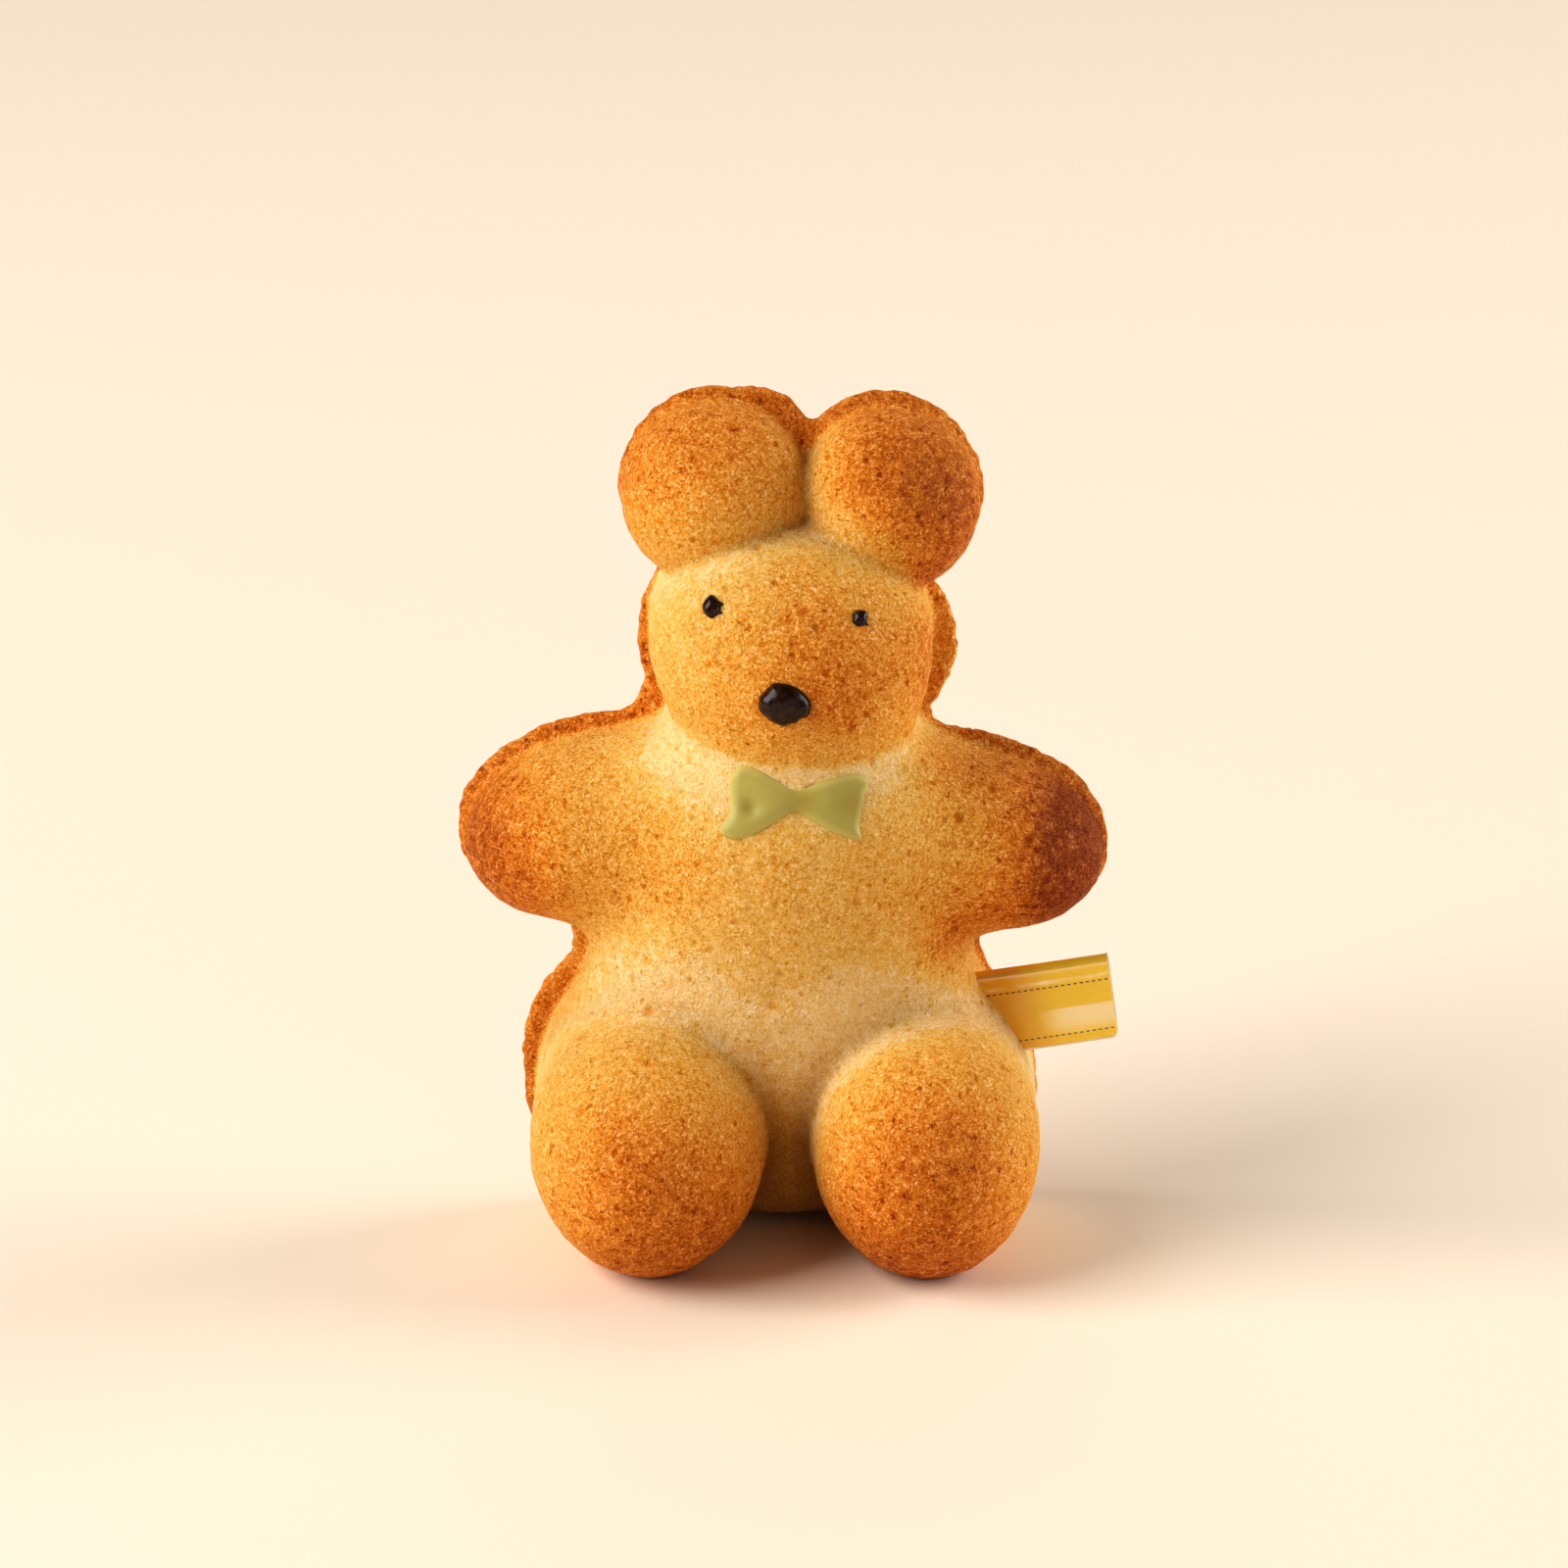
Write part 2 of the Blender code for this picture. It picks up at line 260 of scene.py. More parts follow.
LOBES = (
    Lobe("chest", Oval((0.5, 48.6), (20.5, 17.0)), 5.0, 15.5),
    Lobe("belly", Oval((-0.6, 30.5), (22.0, 22.0)), 5.0, 13.5, 8.0),
    Lobe("hips", Oval((0.2, 18.8), (27.8, 17.9)), 6.5, 9.0, 5.0),
    Lobe("arm_left", Oval((-22.0, 48.1), (15.5, 10.5), 13.0), 9.5, 13.5, 5.5),
    Lobe("arm_right", Oval((21.9, 46.8), (15.5, 10.3), -15.0), 9.5, 13.5, 4.5),
    Lobe("skull", Oval((0.6, 73.0), (16.1, 12.6)), 4.0, 13.5, 4.5),
    Lobe("muzzle", Oval((1.6, 67.6), (13.2, 10.3)), 2.2, 11.6, 5.8),
    Lobe("ear_left", Oval((-7.9, 88.0), (10.7, 10.5)), 9.5, 10.8, 1.0),
    Lobe("ear_right", Oval((12.1, 87.2), (10.4, 10.5)), 9.5, 10.8, 1.3),
    Lobe("leg_left", Oval((-15.8, 14.2), (13.6, 15.2)), -5.5, 17.5, 2.1),
    Lobe("leg_right", Oval((16.5, 14.1), (13.2, 15.2)), -5.5, 17.5, 2.1),
)

FLAPS = (
    Oval((-7.6, 89.1), (9.8, 10.4)),  # the top of the left ear
    Oval((11.0, 88.5), (9.7, 10.5)),  # the top of the right ear
    Oval((13.1, 87.9), (8.8, 9.0)),  # beside the right ear
    Oval((-2.5, 94.5), (4.6, 4.8)),  # beside the left ear
    Oval((3.4, 90.4), (3.4, 4.3)),  # between the ears
    Oval((13.2, 69.1), (6.9, 8.9)),  # the right cheek
    Oval((-8.0, 69.5), (9.0, 9.0)),  # the left cheek
    Oval((-14.0, 61.2), (3.6, 3.2)),  # the left of the neck
    Oval((-22.2, 48.9), (15.8, 11.6), 13.0),  # the left shoulder
    Oval((22.1, 46.8), (15.7, 11.4), -15.0),  # the right shoulder
    Oval((15.0, 30.0), (8.0, 7.0)),  # the right flank
    Oval((-18.2, 17.8), (12.8, 15.6)),  # the left hip
    Oval((-23.4, 34.0), (1.2, 1.6)),  # under the left arm
)


LOWEST = (-40.0, -24.0)  # X and Y left of and before all of the cake
HIGHEST = (40.0, 17.5, 102.0)  # X, Y and Z beyond it


@dataclass(frozen=True)
class MouldShape:
    """The cake's form as a distance formula: soft-blended lobes, and a flat lip round their back.

    Attributes:
        back_edge: the depth where the straight sides end and the domed back begins.
        back_dome: how far the back rises over each lobe.
        lip_front: the depth of the lip's front face.
        lip_thickness: the lip's thickness.
        lip_width: how far the lip stands out all round, without its flaps.
        lip_blend: the softness of the lip's edges.
        flap_blend: the softness of the corners between flaps.
        lip_crumbs: the crumbs and bites that move the lip's edge.
    """

    back_edge: float = 13.0
    back_dome: float = 2.8
    lip_front: float = 12.2
    lip_thickness: float = 1.8
    lip_width: float = 0.25
    lip_blend: float = 1.0
    flap_blend: float = 2.4
    lip_crumbs: Lumps = ((1.7, 0.20, 3), (0.75, 0.16, 4))

    def lobe(self, lobe: Lobe, x: Array, y: Array, z: Array) -> Array:
        """How far places lie outside one lobe, below zero inside.

        Args:
            lobe: the lobe.
            x: places across.
            y: places in depth, shaped to broadcast with x and z.
            z: places up.

        Returns:
            The distances.
        """
        flat, steep = lobe.oval.squares(x, z)
        behind = np.maximum(y - self.back_edge, 0.0) / self.back_dome
        depth = np.minimum(y - lobe.y, 0.0) / lobe.bulge + behind
        return oval_distance(flat + depth**2, steep + (depth / lobe.bulge) ** 2)

    def body(self, x: Array, y: Array, z: Array) -> Array:
        """How far places lie outside all lobes, blended in turn."""
        distance = self.lobe(LOBES[0], x, y, z)
        for lobe in LOBES[1:]:
            distance = smooth_union(distance, self.lobe(lobe, x, y, z), lobe.blend)
        return distance

    def crumbled_edge(self, x: Array, z: Array) -> Array:
        """How far the lip's ragged edge lies in or out of its smooth outline, for places x, z."""
        across, up = np.broadcast_arrays(x, z)
        flat = np.stack([across.ravel(), np.zeros(across.size), up.ravel()], axis=1)
        return uneven(flat, self.lip_crumbs).reshape(across.shape)

    def lip(self, x: Array, y: Array, z: Array) -> Array:
        """How far places lie outside the lip: the body's outline and the flaps, in a flat layer."""
        outline = self.body(x, np.float32(self.lip_front), z) - self.lip_width
        for flap in FLAPS:
            outline = smooth_union(outline, flap.distance(x, z), self.flap_blend)
        outline = outline + self.crumbled_edge(x, z).astype(np.float32)
        half = self.lip_thickness / 2
        slab = np.abs(y - (self.lip_front + half)) - half
        return -smooth_union(-outline, -slab, self.lip_blend)

    def distance(self, x: Array, y: Array, z: Array) -> Array:
        """How far places lie outside the whole cake, standing on Z = 0."""
        whole = smooth_union(self.body(x, y, z), self.lip(x, y, z), self.lip_blend)
        return np.maximum(whole, -z)

    def front(self, x: Array, z: Array) -> Array:
        """The depth at which lines from the front meet the body, walking back by the distance left.

        Args:
            x: places across.
            z: places up.

        Returns:
            The depth at each place.
        """
        y = np.full(np.shape(x), LOWEST[1])
        for _ in range(60):
            y = y + 0.9 * self.body(x, y, z)
        return y

    def slope(self, points: Array, step: float = 0.05) -> Array:
        """Which way is straight out of the body at each place, from samples a step to each side.

        Args:
            points: places, one a row.
            step: how far away the samples are.

        Returns:
            One unit vector for each place.
        """
        rises = []
        for nudge in np.eye(3) * step:
            ahead, behind = (points + nudge).T, (points - nudge).T
            rises.append(self.body(*ahead) - self.body(*behind))
        outward = np.stack(rises, axis=1)
        return outward / np.linalg.norm(outward, axis=1, keepdims=True)


def draw_level(samples: Array, low: Array, step: float) -> tuple[Array, Array]:
    """Draws the zero level of distances sampled on a grid.

    Each cell of the grid that the surface crosses gets one point, the mean of where the cell's
    edges cross zero. Each grid edge that crosses zero gets one four-sided face, between the
    points of the four cells round it.

    Args:
        samples: the distances, indexed by X, Y and Z.
        low: the place of the first sample.
        step: the grid's spacing.

    Returns:
        The points, and the faces as four point numbers each, facing out.
    """
    inside = samples < 0.0
    corners = [(i, j, k) for i in (0, 1) for j in (0, 1) for k in (0, 1)]
    cells = tuple(size - 1 for size in samples.shape)

    def corner_of(values: Array, offset: tuple[int, int, int]) -> Array:
        """The values at one corner of all cells."""
        return values[tuple(slice(o, o + n) for o, n in zip(offset, cells))]

    count = sum(corner_of(inside, corner).astype(np.int8) for corner in corners)
    crossed = (count > 0) & (count < 8)
    where = np.argwhere(crossed)
    numbers = np.full(cells, -1, np.int32)
    numbers[crossed] = np.arange(len(where))

    total = np.zeros((len(where), 3))
    crossings = np.zeros((len(where), 1))
    for axis in range(3):
        along = np.eye(3, dtype=int)[axis]
        for start in (corner for corner in corners if corner[axis] == 0):
            first = samples[tuple((where + start).T)].astype(float)
            second = samples[tuple((where + start + along).T)].astype(float)
            crosses = (first < 0.0) != (second < 0.0)
            part = np.where(crosses, first / np.where(crosses, first - second, 1.0), 0.0)
            total += (np.array(start) + part[:, None] * along) * crosses[:, None]
            crossings += crosses[:, None]
    points = low + (where + total / crossings) * step

    faces = []
    for axis in range(3):
        across, up = (axis + 1) % 3, (axis + 2) % 3
        before = np.take(inside, range(0, cells[axis]), axis)
        after = np.take(inside, range(1, cells[axis] + 1), axis)
        edges = np.argwhere(before != after)
        for other in (across, up):
            edges = edges[(edges[:, other] > 0) & (edges[:, other] < cells[other])]
        step_across, step_up = np.eye(3, dtype=int)[across], np.eye(3, dtype=int)[up]
        around = (step_across + step_up, step_up, 0 * step_up, step_across)
        ring = np.stack([numbers[tuple((edges - back).T)] for back in around], axis=1)
        outward = inside[tuple(edges.T)]
        faces.append(np.where(outward[:, None], ring, ring[:, ::-1]))
    return points, np.concatenate(faces)


# --- meshes


def make_mesh(name: str, points: Array, faces: Array) -> bpy.types.Mesh:
    """A mesh in the frame from points in model millimetres.

    Args:
        name: the mesh's name.
        points: the points, one a row.
        faces: the faces, as rows of three or four point numbers.

    Returns:
        The mesh, shaded smooth.
    """
    mesh = bpy.data.meshes.new(name)
    sides = faces.shape[1]
    mesh.vertices.add(len(points))
    mesh.loops.add(faces.size)
    mesh.polygons.add(len(faces))
    mesh.vertices.foreach_set("co", to_frame(points).astype(np.float32).ravel())
    mesh.loops.foreach_set("vertex_index", faces.astype(np.int32).ravel())
    mesh.polygons.foreach_set("loop_start", np.arange(0, faces.size, sides, dtype=np.int32))
    mesh.update(calc_edges=True)
    mesh.validate()
    mesh.shade_smooth()
    return mesh


def put(name: str, data: bpy.types.ID) -> bpy.types.Object:
    """A new object in the scene, at the origin, that holds a mesh, a light or a camera."""
    made = bpy.data.objects.new(name, data)
    bpy.context.scene.collection.objects.link(made)
    return made


def show(
    name: str, mesh: bpy.types.Mesh, material: bpy.types.Material
) -> bpy.types.Object:
    """Puts a finished mesh in the scene as a piece that stands for the CAD node of its name.

    Args:
        name: the CAD node, and the piece's name with _dressed behind it.
        mesh: the mesh, in the frame.
        material: its finish.

    Returns:
        The piece.
    """
    piece = put(f"{name}_dressed", mesh)
    mesh.materials.append(material)
    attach(piece, "root")
    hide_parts(name)
    log.info("%s: %d faces", piece.name, len(mesh.polygons))
    return piece


def set_attribute(mesh: bpy.types.Mesh, name: str, values: Array) -> None:
    """Gives each point of a mesh one number, which a material can read by name."""
    layer = mesh.attributes.new(name, "FLOAT", "POINT")
    layer.data.foreach_set("value", values.astype(np.float32))


def grid_faces(rows: int, columns: int, wrap: bool = False) -> Array:
    """Four-sided faces between neighbours on a grid of points.

    Args:
        rows: how many rows of points there are.
        columns: how many points a row has.
        wrap: whether each row closes on itself.

    Returns:
        The faces, as four point numbers each.
    """
    row, column = np.meshgrid(
        np.arange(rows - 1), np.arange(columns if wrap else columns - 1), indexing="ij"
    )
    after = (column + 1) % columns
    ring = (row * columns + column, row * columns + after, (row + 1) * columns + after)
    return np.stack([*ring, (row + 1) * columns + column], axis=-1).reshape(-1, 4)


# --- finishes


class Nodes:
    """Adds and links shader nodes in one material."""

    def __init__(self, name: str) -> None:
        """Starts a material that holds a Principled shader and the object's own coordinates."""
        self.material = bpy.data.materials.new(name)
        self.material.use_nodes = True
        self.tree = self.material.node_tree
        self.shader = self.tree.nodes["Principled BSDF"]
        self.place = self.tree.nodes.new("ShaderNodeTexCoord").outputs["Object"]

    def add(self, kind: str, **settings: object) -> bpy.types.Node:
        """A node of a kind, with its settings.

        Args:
            kind: the node's type without ShaderNode.
            **settings: the node's own properties, and its inputs by name.

        Returns:
            The node.
        """
        node = self.tree.nodes.new(f"ShaderNode{kind}")
        for key, value in settings.items():
            if key in node.bl_rna.properties:
                setattr(node, key, value)
        for key, value in settings.items():
            if key not in node.bl_rna.properties:
                self.feed(node.inputs[key.replace("_", " ")], value)
        return node

    def feed(self, socket: Socket, value: object) -> None:
        """Links a socket to another node's output, or sets its number or colour."""
        if isinstance(value, Socket):
            self.tree.links.new(value, socket)
        else:
            socket.default_value = value

    def math(self, operation: str, *values: object, kind: str = "Math") -> Socket:
        """The result of a sum.

        Args:
            operation: the sum.
            *values: the numbers or outputs that it is done on.
            kind: the node's type, Math or VectorMath.

        Returns:
            The output.
        """
        node = self.add(kind, operation=operation)
        for socket, value in zip(node.inputs, values):
            self.feed(socket, value)
        return node.outputs[0]

    def times(self, *values: object) -> Socket:
        """The product of outputs or numbers."""
        return reduce(lambda product, value: self.math("MULTIPLY", product, value), values)

    def total(self, start: object, *terms: tuple[object, object]) -> Socket:
        """A weighted sum: the start and each term's value times its weight."""
        return reduce(lambda total, term: self.math("MULTIPLY_ADD", *term, total), terms, start)

    def noise(
        self, size: float, detail: float = 2.0, roughness: float = 0.5, curl: float = 0.0
    ) -> Socket:
        """Noise from 0 to 1.

        Args:
            size: the size of its lumps in millimetres.
            detail: how many finer layers it has.
            roughness: how strong these are.
            curl: how much the lumps are curled.

        Returns:
            The output.
        """
        node = self.add("TexNoise", Vector=self.place, Scale=1.0 / (size * MM), Detail=detail)
        self.feed(node.inputs["Roughness"], roughness)
        self.feed(node.inputs["Distortion"], curl)
        return node.outputs["Fac"]

    def pinholes(
        self, spacing: float, radius: float, size: float = 0.5, reach: float = 0.45
    ) -> Socket:
        """Small ragged holes.

        Args:
            spacing: how far apart they lie, in millimetres.
            radius: how wide they are.
            size: the size of the noise that tears their edges.
            reach: how far it moves an edge, at most.

        Returns:
            An output that is 1 in a hole and 0 outside.
        """
        noise = self.add("TexNoise", Vector=self.place, Scale=1.0 / (size * MM), Detail=1.0)
        off = self.math("SUBTRACT", noise.outputs["Color"], (0.5,) * 3, kind="VectorMath")
        far = (2 * reach * MM,) * 3
        torn = self.math("MULTIPLY_ADD", off, far, self.place, kind="VectorMath")
        cells = self.add("TexVoronoi", Vector=torn, Scale=1.0 / (spacing * MM))
        pick = self.add("SeparateXYZ", Vector=cells.outputs["Color"]).outputs["X"]
        widest = self.times(pick, 1.6 * radius / spacing)
        return self.spread(self.math("SUBTRACT", cells.outputs["Distance"], widest), 0.03, -0.06)

    def attribute(self, name: str) -> Socket:
        """The number that each point of the mesh holds under a name."""
        return self.add("Attribute", attribute_name=name).outputs["Fac"]

    def spread(
        self, value: object, low: float, high: float, to: tuple[float, float] = (0.0, 1.0)
    ) -> Socket:
        """The value remapped from low..high to another range, smoothly and within it.

        Args:
            value: the output to remap.
            low: what becomes the start of the range.
            high: what becomes its end.
            to: the range.

        Returns:
            The output.
        """
        node = self.add("MapRange", interpolation_type="SMOOTHSTEP", Value=value)
        for key, number in zip(("From Min", "From Max", "To Min", "To Max"), (low, high, *to)):
            node.inputs[key].default_value = number
        return node.outputs["Result"]

    def ramp(self, value: object, stops: tuple[tuple[float, Colour], ...]) -> Socket:
        """The colour at a place along a row of stops.

        Args:
            value: the place along the row.
            stops: each stop's place and colour.

        Returns:
            The colour output.
        """
        node = self.add("ValToRGB", Fac=value)
        elements = node.color_ramp.elements
        while len(elements) < len(stops):
            elements.new(0.5)
        for element, (place, colour) in zip(elements, stops):
            element.position = place
            element.color = (*colour, 1.0)
        return node.outputs["Color"]

    def mix(self, share: object, first: object, second: object, blend: str = "MIX") -> Socket:
        """Two colours mixed.

        Args:
            share: how much of the second, 0 to 1.
            first: the first colour.
            second: the second colour.
            blend: the way they are mixed.

        Returns:
            The colour output.
        """
        node = self.add("Mix", data_type="RGBA", blend_type=blend)
        for number, value in zip((0, 6, 7), (share, first, second)):
            colour = (*value, 1.0) if isinstance(value, tuple) and len(value) == 3 else value
            self.feed(node.inputs[number], colour)
        return node.outputs[2]

    def bump(self, height: object, depth: float, strength: float = 1.0) -> Socket:
        """A normal that shows a height pattern as relief of a depth in millimetres."""
        node = self.add("Bump", Height=height, Distance=depth * MM, Strength=strength)
        return node.outputs["Normal"]

    def finish(self, **inputs: object) -> bpy.types.Material:
        """Sets the shader's inputs by name and returns the material."""
        for key, value in inputs.items():
            self.feed(self.shader.inputs[key.replace("_", " ")], value)
        return self.material


@dataclass(frozen=True)
class BakedCrumb:
    """Fine granular crumb that browns from cream through gold to dark brown, with painted shade in
    its creases, a painted glow in its larger pits and pale flakes that are partly painted glints.

    Attributes:
        stops: the colour at each degree of browning.
        film: what one more layer of crust lets through, in the gaps between grains.
        pit: a painted glow of scattered light, the colour that the larger pits are lifted to.
        painted_shade: the painted shade multiplied into the crumb in the creases and between the
            legs.
        grain: the size of one grain of crumb, in millimetres.
        clump: the size of the clumps that the grains form.
        pore_spacing: how far apart the pinholes lie.
        pore_radius: the radius of one pinhole.
    """

    stops: tuple[tuple[float, Colour], ...] = (
        (0.00, (0.860, 0.580, 0.235)),
        (0.14, (0.815, 0.470, 0.105)),
        (0.36, (0.775, 0.362, 0.051)),
        (0.54, (0.755, 0.302, 0.031)),
        (0.66, (0.705, 0.235, 0.0180)),
        (0.76, (0.625, 0.174, 0.0100)),
        (0.88, (0.450, 0.102, 0.0050)),
        (1.00, (0.245, 0.040, 0.0015)),
    )
    film: Colour = (0.83, 0.64, 0.26)
    pit: Colour = (0.78, 0.24, 0.015)
    painted_shade: Colour = (0.42, 0.29, 0.15)
    grain: float = 0.31
    clump: float = 1.15
    pore_spacing: float = 1.5
    pore_radius: float = 0.24

    def make(self) -> bpy.types.Material:
        """The material."""
        nodes = Nodes(Slot.CRUMB.value)
        brown, nick = nodes.attribute("browning"), nodes.attribute("pore")
        # the patterns, from coarse to fine
        clumps = nodes.noise(self.clump, 3.0, 0.62)
        speckle = nodes.noise(self.grain, 2.0, 0.55, 0.5)
        # pale crumb flakes, partly painted glints
        flake_and_glint = nodes.spread(nodes.total(speckle, (clumps, 0.25)), 0.595, 0.745)
        gap = nodes.spread(nodes.noise(1.35 * self.grain, 2.0, 0.6, 0.4), 0.50, 0.36)
        fine = nodes.noise(0.16, 2.0, 0.6)
        pinhole = nodes.pinholes(self.pore_spacing, self.pore_radius)
        hole = nodes.math("MAXIMUM", pinhole, nick)

        # the colour: browned by spots, then seen through more or less crust
        tone = nodes.total(brown, (clumps, 0.45), (-0.5, 0.45), (hole, 0.10))
        layers = nodes.total(-2.35, (clumps, 1.7), (fine, 3.0), (gap, 0.95), (flake_and_glint, -1.05))
        layers = nodes.times(layers, nodes.total(0.36, (brown, 1.45)))
        layers = nodes.total(layers, (hole, nodes.spread(brown, 0.15, 0.42, (0.35, 1.3))))
        film = nodes.add("Gamma", Color=(*self.film, 1.0), Gamma=layers).outputs["Color"]
        colour = nodes.mix(1.0, nodes.ramp(tone, self.stops), film, "MULTIPLY")
        # painted glow of scattered light in the larger pits
        colour = nodes.mix(nodes.times(nick, 0.35), colour, self.pit)
        # painted shade in the creases and between the legs
        colour = nodes.mix(nodes.attribute("shade"), colour, self.painted_shade, "MULTIPLY")

        # the relief: clumps and flakes up, gaps and pinholes down
        height = nodes.total(0.0, (clumps, 1.1), (flake_and_glint, 0.35), (gap, -0.40), (fine, 0.35))
        height = nodes.total(height, (pinhole, -0.7))
        return nodes.finish(
            Base_Color=colour,
            Roughness=nodes.spread(speckle, 0.4, 0.6, (0.70, 0.55)),
            Normal=nodes.bump(height, 0.15),
            Subsurface_Weight=0.12,
            Subsurface_Radius=(1.0, 0.45, 0.2),
            Subsurface_Scale=0.6 * MM,
            IOR=1.45,
            Specular_IOR_Level=0.10,
        )


@dataclass(frozen=True)
class SetChocolate:
    """Dark chocolate set in a drop, nearly black, with a satin gloss."""

    colour: Colour = (0.016, 0.0045, 0.0016)
    bloom: Colour = (0.040, 0.017, 0.008)

    def make(self) -> bpy.types.Material:
        """The material."""
        nodes = Nodes(Slot.CHOCOLATE.value)
        cloudy = nodes.noise(0.9, 3.0)
        colour = nodes.mix(nodes.spread(cloudy, 0.45, 0.75), self.colour, self.bloom)
        return nodes.finish(
            Base_Color=colour,
            Roughness=nodes.spread(cloudy, 0.3, 0.7, (0.17, 0.28)),
            Normal=nodes.bump(nodes.noise(0.35), 0.03, 0.5),
            IOR=1.45,
            Specular_IOR_Level=0.3,
        )


@dataclass(frozen=True)
class PipedIcing:
    """Green-yellow icing, smooth, duller where it is thin and the cake shows through, with a painted
    highlight along its raised edge.
    """

    thick: Colour = (0.44, 0.37, 0.095)
    thin: Colour = (0.37, 0.275, 0.050)
    # edge: the painted highlight along the raised rim
    edge: Colour = (0.62, 0.53, 0.17)

    def make(self) -> bpy.types.Material:
        """The material, which reads how thin the icing is and how near its edge, for the painted
        highlight there.
        """
        nodes = Nodes(Slot.ICING.value)
        thin, inward = nodes.attribute("thin"), nodes.attribute("inward")
        colour = nodes.mix(nodes.spread(thin, 0.0, 0.55), self.thick, self.thin)
        # painted highlight near the edge where the icing is thick
        rim = nodes.times(nodes.spread(inward, 0.7, 0.1, (0.0, 0.45)), nodes.spread(thin, 0.35, 0.05))
        colour = nodes.mix(rim, colour, self.edge)
        return nodes.finish(
            Base_Color=colour,
            Roughness=0.42,
            Normal=nodes.bump(nodes.noise(1.2), 0.04, 0.5),
            Specular_IOR_Level=0.3,
            Subsurface_Weight=0.25,
            Subsurface_Radius=(1.0, 0.8, 0.25),
            Subsurface_Scale=0.7 * MM,
            IOR=1.45,
        )


@dataclass(frozen=True)
class CoatedPaper:
    """Golden yellow glossy paper with two dark green dashed lines, bare and white at its cut edges.

    Attributes:
        colour: the printed gold.
        worn: the gold where it is thinner.
        ink: the dashes.
        white: the bare paper.
        lines: how far up the face the dashed lines run, in millimetres.
        period: from one dash to the next.
        dash: how long a dash is.
        line_width: how thick a dash is.
        margin: how far from the strip's end the last dash stops.
        shadow: painted shade and a painted warm reflection from the cake, on the paper near it.
    """

    colour: Colour = (1.0, 0.68, 0.022)
    worn: Colour = (1.0, 0.63, 0.019)
    ink: Colour = (0.0296, 0.0423, 0.0103)
    white: Colour = (0.95, 0.80, 0.60)
    lines: tuple[float, float] = (7.47, 1.35)
    period: float = 0.73
    dash: float = 0.40
    line_width: float = 0.17
    margin: float = 0.40
    shadow: Colour = (0.79, 0.54, 0.15)

    def make(self, length: float, height: float) -> bpy.types.Material:
        """The material.

        Args:
            length: the printed face's length in millimetres, along U.
            height: its height, along V.

        Returns:
            The material, which reads the print's own map and how near the cut edges are.
        """
        nodes = Nodes(Slot.PAPER.value)
        split = nodes.add("SeparateXYZ", Vector=nodes.add("UVMap", uv_map="print").outputs["UV"])
        along = nodes.times(split.outputs["X"], length)
        up = nodes.times(split.outputs["Y"], height)
        last = length - self.margin
        phase = self.period - (last - self.dash) % self.period
        turn = nodes.math("MODULO", nodes.math("ADD", along, phase), self.period)
        away = [nodes.math("ABSOLUTE", nodes.math("SUBTRACT", up, line)) for line in self.lines]
        inked = nodes.times(
            nodes.math("LESS_THAN", turn, self.dash),
            nodes.math("LESS_THAN", along, last + 0.1),
            nodes.math("LESS_THAN", nodes.math("MINIMUM", *away), self.line_width / 2),
        )
        fibre = nodes.spread(nodes.noise(0.5, 3.0), 0.3, 0.7)
        colour = nodes.mix(inked, nodes.mix(fibre, self.colour, self.worn), self.ink)
        frayed = nodes.total(0.13, (nodes.noise(0.3), 0.20))
        bare = nodes.math("LESS_THAN", nodes.attribute("rim"), frayed)
        # painted shade and painted warm reflection from the cake, fading out along the strip
        colour = nodes.mix(nodes.spread(along, 15.5, 8.5), colour, self.shadow, "MULTIPLY")
        return nodes.finish(
            Base_Color=nodes.mix(bare, colour, self.white),
            Roughness=0.45,
            Normal=nodes.bump(nodes.noise(2.5), 0.04, 0.4),
            IOR=1.5,
            Specular_IOR_Level=0.3,
            Coat_Weight=nodes.times(self.gloss(nodes, along, up), nodes.math("SUBTRACT", 1.0, bare)),
            Coat_Roughness=0.14,
            Coat_IOR=3.9,
        )

    @staticmethod
    def gloss(nodes: Nodes, along: Socket, up: Socket) -> Socket:
        """How glossy the lacquer is: in a band below the lines, a streak above them and the fold.

        Args:
            nodes: the material's nodes.
            along: the place along the strip in millimetres.
            up: the place up the strip.

        Returns:
            The gloss, from 0 to 1.
        """
        outer = nodes.spread(along, 11.5, 16.5)
        band = nodes.times(outer, nodes.spread(up, 0.6, 3.2), nodes.spread(up, 4.9, 4.5))
        patchy = nodes.spread(nodes.noise(2.6), 0.36, 0.62, (0.25, 1.0))
        streak = nodes.times(patchy, nodes.spread(up, 7.75, 8.0), nodes.spread(up, 8.55, 8.25))
        fold = nodes.spread(up, 9.0, 9.8, (0.10, 0.60))
        return nodes.math("MAXIMUM", nodes.math("MAXIMUM", band, streak), fold)


# --- the pieces


@dataclass(frozen=True)
class BrownSpot:
    """Where the oven browned the crumb more, or left it paler, or where shade is painted in."""

    place: tuple[float, float, float]
    reach: float
    amount: float

    def at(self, points: Array) -> Array:
        """How much browner it makes each place."""
        return self.amount * bell(np.linalg.norm(points - self.place, axis=1), self.reach)


@dataclass(frozen=True)
class Part:
    """A part of the body that browns by itself.

    Attributes:
        lobes: the lobes it is made of.
        valleys: the parts that it meets in a valley, and how much paler it is there.
        tone: how brown it is, 0 to 1, away from spots and valleys.
        spots: where it is browner or paler, or darker with painted shade.
    """

    lobes: tuple[str, ...]
    valleys: dict[str, float]
    tone: float
    spots: tuple[BrownSpot, ...]


